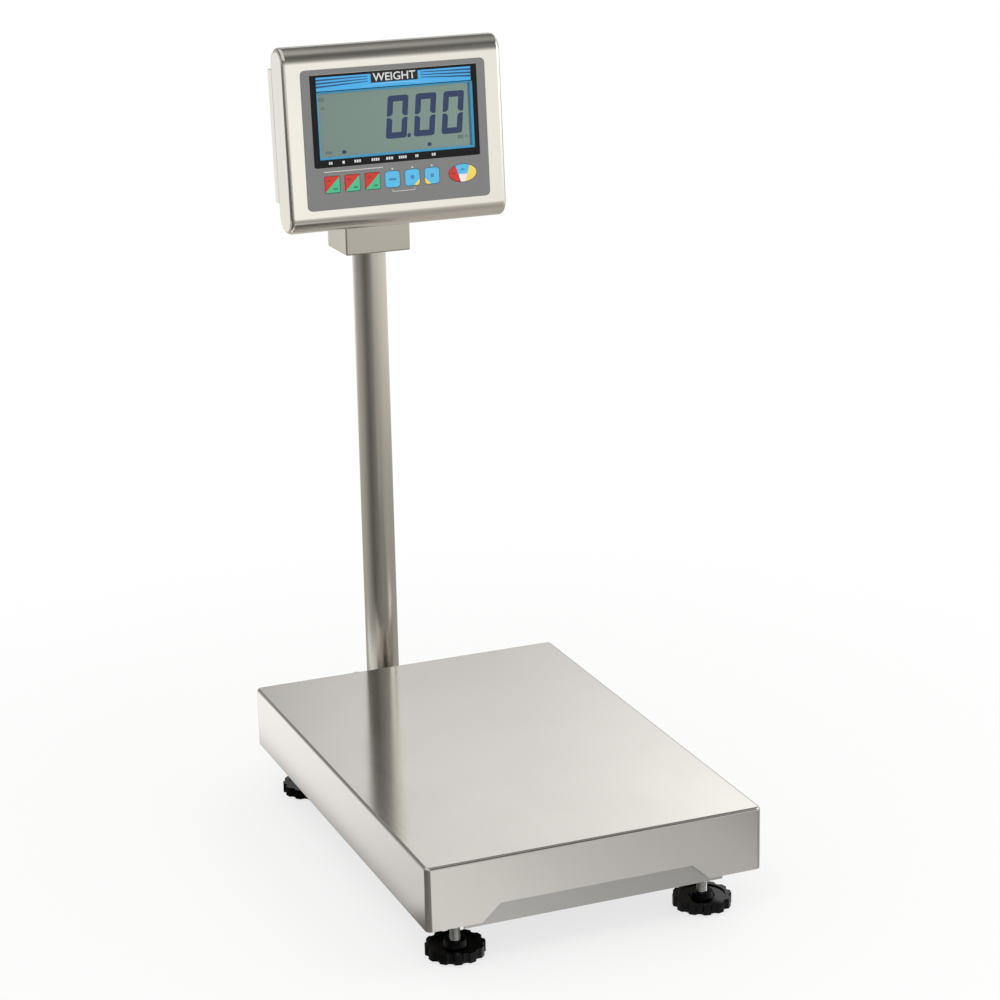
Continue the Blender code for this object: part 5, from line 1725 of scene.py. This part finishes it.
@dataclass
class Neck:
    """The folded hood on the column, the hinge behind the head, its two knobs and the head's lead."""

    fold: float = 2.6 * MM
    knob_radius: float = 14 * MM
    knob_length: float = 14 * MM
    lobes: int = 6
    hollow: float = 5.6 * MM
    hollow_out: float = 3.2 * MM
    knob_rim: float = 4.0 * MM
    knob_dish: float = 0.8 * MM
    bolt: float = 4.0 * MM
    lead_radius: float = 3.0 * MM
    route: tuple[Place, ...] = (
        (0.0, 0.3218, 0.6633),
        (0.0, 0.3218, 0.6753),
        (0.0, 0.3218, 0.7160),
        (0.0, 0.3070, 0.7462),
        (0.0, 0.2921, 0.7522),
        (0.0, 0.2861, 0.7526),
        (0.0, 0.2562, 0.7547),
    )

    def build(self) -> None:
        """Builds the hood, the hinge, the knobs and the lead."""
        hood = traced("neck_bracket", "neck_hood", 0.0)
        low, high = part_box("neck_bracket")
        side, front, bottom = high.x - 0.1 * MM, low.y + 0.1 * MM, low.z + 0.1 * MM
        round_edges(
            hood,
            self.fold,
            5,
            lambda middle, run: (abs(middle.x) > side) + (middle.y < front) + (middle.z < bottom) >= 2,
        )
        soften(hood, 0.25 * MM)
        dress(hood, "base", "brushed_stainless", BRACKET_STEEL)
        dress(traced("hinge_bracket", "hinge_yoke", 0.4 * MM), "head", "brushed_stainless", BRACKET_STEEL)
        for side, sign in SIDES.items():
            self.knob(side, sign)
        self.lead()

    def knob(self, side: str, sign: int) -> None:
        """Makes one tilt knob with its bolt.

        Args:
            side: left or right.
            sign: -1 or 1, the way it faces along X.
        """
        low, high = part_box(f"tilt_knob_{side}")
        centre = (0.0, (low.y + high.y) / 2, (low.z + high.z) / 2)
        outer = max(abs(low.x), abs(high.x))
        inner = min(abs(low.x), abs(high.x))
        start, end = outer - self.knob_length, outer
        span = sorted((sign * start, sign * end))
        knob = disc(f"tilt_knob_fine_{side}", self.knob_radius, *span, centre, Axis.X, sides=90)
        reach, cut = self.knob_radius + self.hollow_out, (span[0] - MM, span[1] + MM)
        scallop(knob, self.lobes, reach, self.hollow, cut, centre, Axis.X, sides=32)
        inset_face(knob, lambda middle, normal: normal.x * sign > 0.9, self.knob_rim, -self.knob_dish)
        bolt_span = sorted((sign * inner, sign * (start + end) / 2))
        combine(knob, "UNION", disc("bolt", self.bolt, *bolt_span, centre, Axis.X, sides=32))
        soften(knob, 1.0 * MM, 3)
        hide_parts(f"tilt_knob_{side}")
        dress(knob, f"tilt_knob_{side}", "black_plastic", NYLON)

    def lead(self) -> None:
        """Draws the lead from the column's mouth through the gland."""
        curve = bpy.data.curves.new("head_lead_fine", "CURVE")
        curve.dimensions = "3D"
        curve.bevel_depth = self.lead_radius
        curve.bevel_resolution = 8
        curve.use_fill_caps = True
        spline = curve.splines.new("BEZIER")
        spline.bezier_points.add(len(self.route) - 1)
        for knot, place in zip(spline.bezier_points, self.route):
            knot.co = place
            knot.handle_left_type = knot.handle_right_type = "AUTO"
        spline.resolution_u = 10
        lead = bpy.data.objects.new("head_lead_fine", curve)
        bpy.context.scene.collection.objects.link(lead)
        take(lead)
        bpy.ops.object.convert(target="MESH")
        lead = soften(bpy.context.object, 0.0)
        lead.data.materials.clear()
        lead.data.materials.append(JACKET.material())
        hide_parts("head_lead")
        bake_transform(lead)
        log.info("head_lead_fine: bends between base and head")


@dataclass
class Electronics:
    """What is inside the case."""

    def build(self) -> None:
        """Repaints the boards and the battery."""
        repaint(BOARD, "switch_board", "main_board")
        repaint(WRAP, "battery_pack")


# Studio


PLAIN_WHITE = (1.0, 1.0, 1.0, 1.0)


@dataclass
class Studio:
    """A pale floor under soft light, with white behind the scale and a dim room behind the camera.

    Attributes:
        azimuth, elevation, roll, distance, target, lens: How the camera stands.
        floor_colour: The floor's paint.
        clear: How far from the middle the floor starts and ends to turn into plain white.
        haze: How much of that white lies over the floor's shadow.
        warm: The tint of the near floor in gloss.
        ambient: The soft light from all sides.
        ceiling: What gloss that faces up sees.
        column_y: Where the column stands, which the floor's levels turn round.
        turns: The floor's levels in gloss by turn in degrees: near, middle and far.
        fades: How far from the column one ring of levels starts and ends to give way to the next.
        patches: Strips of floor by the skirts: an axis, a middle and half sizes, and levels along the axis.
        patch_edges: How wide the soft edges of those strips are.
        behind: Where the room turns into the wall behind the scale.
        wall_across, wall_up, wall_band, wall_low: Levels of that wall, the band where it is bright, and
            its levels outside the band.
        room_up, room_across: Levels of the room in front.
        ceiling_across, ceiling_up: Where the ceiling shows.
        lamp_list: Each lamp's name, place, size and power.
        aim: What the lamps point at.
    """

    azimuth: float = math.radians(-21.8457)
    elevation: float = math.radians(16.9135)
    roll: float = math.radians(-1.1742)
    distance: float = 3.1838
    target: Place = (0.012245, -0.071709, 0.430974)
    lens: float = 99.666
    floor_colour: str = "#f4f3f1"
    clear: Point = (0.45, 1.3)
    haze: float = 0.74
    warm: tuple[float, ...] = (1.0, 0.955, 0.905, 1.0)
    ambient: float = 0.82
    ceiling: tuple[float, ...] = (0.72, 0.71, 0.7, 1.0)
    column_y: float = 0.3218
    turns: tuple[tuple[Point, ...], ...] = (
        (
            *((-180, 0.55), (-120, 0.52), (-96, 0.4), (-76, 0.22), (-54, 0.12), (-40, 0.14), (-25, 0.18)),
            *((-8, 0.25), (8, 0.31), (29, 0.4), (48, 0.46), (120, 0.46), (180, 0.55)),
        ),
        (
            *((-180, 1.0), (-155, 1.0), (-146, 0.6), (-120, 0.53), (-96, 0.48), (-74, 0.32), (-54, 0.18)),
            *((-40, 0.23), (-22, 0.34), (-8, 0.42), (8, 0.5), (29, 0.68), (48, 0.82), (90, 0.95), (180, 1.0)),
        ),
        (
            *((-180, 0.3), (-172, 0.94), (-138, 0.94), (-120, 0.16), (-60, 0.05), (-16, 0.08), (-6, 0.6)),
            *((8, 1.1), (18, 1.12), (25, 0.86), (36, 0.8), (120, 1.0), (142, 0.3), (180, 0.3)),
        ),
    )
    fades: tuple[Point, ...] = ((1.0, 2.6), (2.8, 4.5))
    patches: tuple[tuple[int, tuple[float, ...], tuple[Point, ...]], ...] = (
        (
            1,
            (-0.315, 0.2, 0.05, 0.37),
            ((-0.3, 0.66), (-0.08, 0.79), (0.1, 0.94), (0.25, 1.04), (0.5, 1.14)),
        ),
        (
            0,
            (0.17, -0.62, 0.31, 0.26),
            ((-0.2, 0.86), (-0.06, 0.8), (0.06, 0.66), (0.18, 0.575), (0.26, 0.53), (0.36, 0.36)),
        ),
    )
    patch_edges: Point = (0.05, 0.08)
    behind: Point = (-0.1, 0.25)
    wall_across: tuple[Point, ...] = (
        *((0.35, 0.12), (0.5, 0.36), (0.61, 0.48), (0.632, 0.62), (0.645, 0.82), (0.675, 0.88)),
        *((0.69, 1.0), (0.71, 1.22), (0.8, 1.5)),
    )
    wall_up: tuple[Point, ...] = ((0.66, 0.83), (0.676, 0.92), (0.6875, 1.03), (0.698, 1.14), (0.72, 1.22))
    wall_band: tuple[Point, ...] = ((0.5, 1.0), (0.64, 1.0), (0.665, 0.0), (0.71, 0.0), (0.745, 1.0))
    wall_low: tuple[Point, ...] = (
        *((0.0, 0.5), (0.6, 0.46), (0.64, 0.36), (0.745, 0.12), (0.8, 0.18), (0.82, 0.15)),
        *((0.894, 0.17), (0.949, 0.25), (0.98, 0.36), (1.0, 0.42)),
    )
    room_up: tuple[Point, ...] = (
        *((0.49, 1.05), (0.51, 0.95), (0.57, 0.66), (0.62, 0.45), (0.67, 0.28), (0.735, 0.16)),
        *((0.84, 0.1), (0.915, 0.12), (0.957, 0.3), (0.985, 0.42)),
    )
    room_across: tuple[Point, ...] = (
        *((0.0, 0.35), (0.1, 0.35), (0.2, 0.72), (0.42, 0.9), (0.5, 1.1), (0.65, 1.12), (0.71, 0.92)),
        *((0.76, 1.5), (0.9, 1.75)),
    )
    ceiling_across: tuple[Point, ...] = ((0.5, 1.0), (0.58, 0.0), (0.78, 0.0), (0.86, 1.0))
    ceiling_up: tuple[Point, ...] = ((0.735, 0.0), (0.79, 1.0))
    lamp_list: tuple[tuple[str, Place, float, float], ...] = (
        ("key_lamp", (-1.6, -2.0, 3.0), 2.2, 26.0),
        ("fill_lamp", (2.6, -1.4, 2.2), 2.2, 15.0),
        ("back_lamp", (2.4, 2.2, 2.6), 2.2, 16.0),
    )
    aim: Place = (0.0, 0.0, 0.4)

    def build(self) -> None:
        """Builds the camera, the floor, the lamps and the world."""
        self.camera()
        self.floor()
        self.lamps()
        self.world()
        bpy.context.scene.view_settings.view_transform = "Standard"

    def camera(self) -> None:
        """Sets the camera at the photograph's angle."""
        a, e = self.azimuth, self.elevation
        back = Vector((math.sin(a) * math.cos(e), -math.cos(a) * math.cos(e), math.sin(e)))
        right = (-back).cross(Vector((0.0, 0.0, 1.0))).normalized()
        up = right.cross(-back)
        across = right * math.cos(self.roll) + up * math.sin(self.roll)
        over = up * math.cos(self.roll) - right * math.sin(self.roll)
        data = bpy.data.cameras.new("camera")
        data.lens = self.lens
        data.sensor_width = 36.0
        data.sensor_fit = "HORIZONTAL"
        data.clip_end = 50.0
        camera = bpy.data.objects.new("camera", data)
        bpy.context.scene.collection.objects.link(camera)
        turn = Matrix((across, over, back)).transposed().to_4x4()
        camera.matrix_world = Matrix.Translation(Vector(self.target) + back * self.distance) @ turn
        bpy.context.scene.camera = camera

    def floor(self) -> None:
        """Lays the floor: white with a light shadow for the camera, and a shaded studio for gloss."""
        let_go()
        bpy.ops.mesh.primitive_plane_add(size=24.0, location=(0.0, 0.0, -0.2 * MM))
        floor = newest("studio_floor")
        made = bpy.data.materials.new("studio_floor_paint")
        made.use_nodes = True
        tree = made.node_tree
        paint = tree.nodes["Principled BSDF"]
        paint.inputs["Base Color"].default_value = linear(self.floor_colour)
        paint.inputs["Roughness"].default_value = 0.9
        white = add_node(tree, "Emission", {"Color": PLAIN_WHITE, "Strength": 1.0})
        place = add_node(tree, "TexCoord").outputs["Object"]
        away = add_node(tree, "VectorMath", {0: place}, operation="LENGTH")
        clear = add_node(
            tree,
            "MapRange",
            {
                "Value": away,
                "From Min": self.clear[0],
                "From Max": self.clear[1],
                "To Min": self.haze,
                "To Max": 1.0,
            },
            interpolation_type="SMOOTHSTEP",
        )
        rays = add_node(tree, "LightPath").outputs
        straight = {0: rays["Is Camera Ray"], 1: rays["Is Transmission Ray"]}
        through = add_node(tree, "Math", straight, operation="MAXIMUM")
        seen = add_node(tree, "Math", {0: clear, 1: through}, operation="MULTIPLY")
        both = add_node(tree, "MixShader", {0: seen, 1: paint, 2: white})
        studio = add_node(tree, "Emission", {"Color": self.gloss_floor(tree, place), "Strength": 1.0})
        last = add_node(tree, "MixShader", {0: rays["Is Glossy Ray"], 1: both, 2: studio})
        tree.links.new(last.outputs[0], tree.nodes["Material Output"].inputs["Surface"])
        floor.data.materials.append(made)

    def gloss_floor(self, tree: bpy.types.NodeTree, place: bpy.types.NodeSocket) -> bpy.types.Node:
        """Draws the floor as steel sees it: dim to the camera's left and near the column, white far off.

        Args:
            tree: The floor's node tree.
            place: Object coordinates.

        Returns:
            The node that gives the colour.
        """
        parts = add_node(tree, "SeparateXYZ", {0: place}).outputs
        ahead = add_node(tree, "Math", {0: self.column_y, 1: parts[1]}, operation="SUBTRACT")
        turn = add_node(tree, "Math", {0: parts[0], 1: ahead}, operation="ARCTAN2")
        share = add_node(tree, "Math", {0: turn, 1: math.pi}, operation="DIVIDE")
        flat = add_node(tree, "CombineXYZ", {0: parts[0], 1: ahead})
        away = add_node(tree, "VectorMath", {0: flat}, operation="LENGTH")
        rings = []
        for turns in self.turns:
            rings.append(self.levels(tree, share, [((turn + 180) / 360, level) for turn, level in turns]))
        further = []
        for start, end in self.fades:
            spread = {"Value": away, "From Min": start, "From Max": end}
            further.append(add_node(tree, "MapRange", spread, interpolation_type="SMOOTHSTEP"))
        colour = add_node(tree, "Mix", {0: further[0], 6: rings[0], 7: rings[1]}, data_type="RGBA")
        tint = {0: 1.0, 6: colour, 7: self.warm}
        colour = add_node(tree, "Mix", tint, data_type="RGBA", blend_type="MULTIPLY")
        colour = add_node(tree, "Mix", {0: further[1], 6: colour, 7: rings[2]}, data_type="RGBA")
        for axis, (x, y, wide, deep), stops in self.patches:
            sides = []
            for part, centre, half, edge in zip(parts, (x, y), (wide, deep), self.patch_edges):
                off = add_node(tree, "Math", {0: part, 1: centre}, operation="SUBTRACT")
                off = add_node(tree, "Math", {0: off}, operation="ABSOLUTE")
                spread = {"Value": off, "From Min": half, "From Max": half + edge}
                spread |= {"To Min": 1.0, "To Max": 0.0}
                sides.append(add_node(tree, "MapRange", spread, interpolation_type="SMOOTHSTEP"))
            inside = add_node(tree, "Math", {0: sides[0], 1: sides[1]}, operation="MULTIPLY")
            strip = self.levels(tree, parts[axis], [((at + 1) / 2, level) for at, level in stops])
            colour = add_node(tree, "Mix", {0: inside, 6: colour, 7: strip}, data_type="RGBA")
        return colour

    def lamps(self) -> None:
        """Hangs the soft lamps, of which gloss sees only the one that fills the right side."""
        for name, place, size, power in self.lamp_list:
            data = bpy.data.lights.new(name, "AREA")
            data.shape = "SQUARE"
            data.size = size
            data.energy = power
            lamp = bpy.data.objects.new(name, data)
            bpy.context.scene.collection.objects.link(lamp)
            lamp.location = place
            lamp.visible_glossy = name == "fill_lamp"
            aim = Vector(self.aim) - Vector(place)
            lamp.rotation_euler = aim.to_track_quat("-Z", "Y").to_euler()

    def world(self) -> None:
        """Paints the world: white for the camera, and for gloss a room with a white wall behind the scale."""
        world = bpy.data.worlds.new("studio")
        bpy.context.scene.world = world
        world.use_nodes = True
        tree = world.node_tree
        tree.nodes.clear()
        way = add_node(tree, "TexCoord").outputs["Generated"]
        across, ahead, up = add_node(tree, "SeparateXYZ", {0: way}).outputs
        # The wall behind the scale: bright in a band, and brighter to the right
        right, rise = self.levels(tree, across, self.wall_across), self.levels(tree, up, self.wall_up)
        bright = add_node(tree, "Mix", {0: 1.0, 6: right, 7: rise}, data_type="RGBA", blend_type="MULTIPLY")
        band, low = self.levels(tree, up, self.wall_band), self.levels(tree, up, self.wall_low)
        rear = add_node(tree, "Mix", {0: band, 6: bright, 7: low}, data_type="RGBA")
        # The room in front: darker upwards and to the left
        rise, right = self.levels(tree, up, self.room_up), self.levels(tree, across, self.room_across)
        front = add_node(tree, "Mix", {0: 1.0, 6: rise, 7: right}, data_type="RGBA", blend_type="MULTIPLY")
        spread = {"Value": ahead, "From Min": self.behind[0], "From Max": self.behind[1]}
        behind = add_node(tree, "MapRange", spread)
        gloss = add_node(tree, "Mix", {0: behind, 6: front, 7: rear}, data_type="RGBA")
        # The ceiling, seen from both sides
        sides = self.levels(tree, across, self.ceiling_across)
        high = self.levels(tree, up, self.ceiling_up)
        above = add_node(tree, "Math", {0: sides, 1: high}, operation="MULTIPLY")
        gloss = add_node(tree, "Mix", {0: above, 6: gloss, 7: self.ceiling}, data_type="RGBA")
        # Gloss sees the room, other light is even, and the camera sees white
        rays = add_node(tree, "LightPath").outputs
        even = (*(self.ambient,) * 3, 1.0)
        soft = add_node(tree, "Mix", {0: rays["Is Glossy Ray"], 6: even, 7: gloss}, data_type="RGBA")
        straight = {0: rays["Is Camera Ray"], 1: rays["Is Transmission Ray"]}
        seen = add_node(tree, "Math", straight, operation="MAXIMUM")
        final = add_node(tree, "Mix", {0: seen, 6: soft, 7: PLAIN_WHITE}, data_type="RGBA")
        light = add_node(tree, "Background", {"Color": final, "Strength": 1.0})
        add_node(tree, "OutputWorld", {"Surface": light})

    def levels(
        self, tree: bpy.types.NodeTree, value: bpy.types.Node | bpy.types.NodeSocket, stops: Sequence[Point]
    ) -> bpy.types.Node:
        """Turns a place or a part of a direction, from -1 to 1, into a level.

        Args:
            tree: The node tree.
            value: What gives the place or the part of the direction.
            stops: Places from 0 to 1, where 0.5 is the middle, with the level there.

        Returns:
            The node that gives the level.
        """
        place = add_node(tree, "MapRange", {"Value": value, "From Min": -1.0, "From Max": 1.0})
        ramp = add_node(tree, "ValToRGB", {0: place})
        elements = ramp.color_ramp.elements
        for element, (at, level) in zip(elements, (stops[0], stops[-1])):
            element.position, element.color = at, (level, level, level, 1.0)
        for at, level in stops[1:-1]:
            elements.new(at).color = (level, level, level, 1.0)
        return ramp


def main() -> None:
    """Builds the studio and the scale."""
    logging.basicConfig(level=logging.INFO, format="%(name)s: %(message)s")
    for part in (Studio, Platform, ScrewFoot, Column, Neck, Case, Display, Keypad, Electronics):
        part().build()
    let_go()


if __name__ == "__main__":
    main()
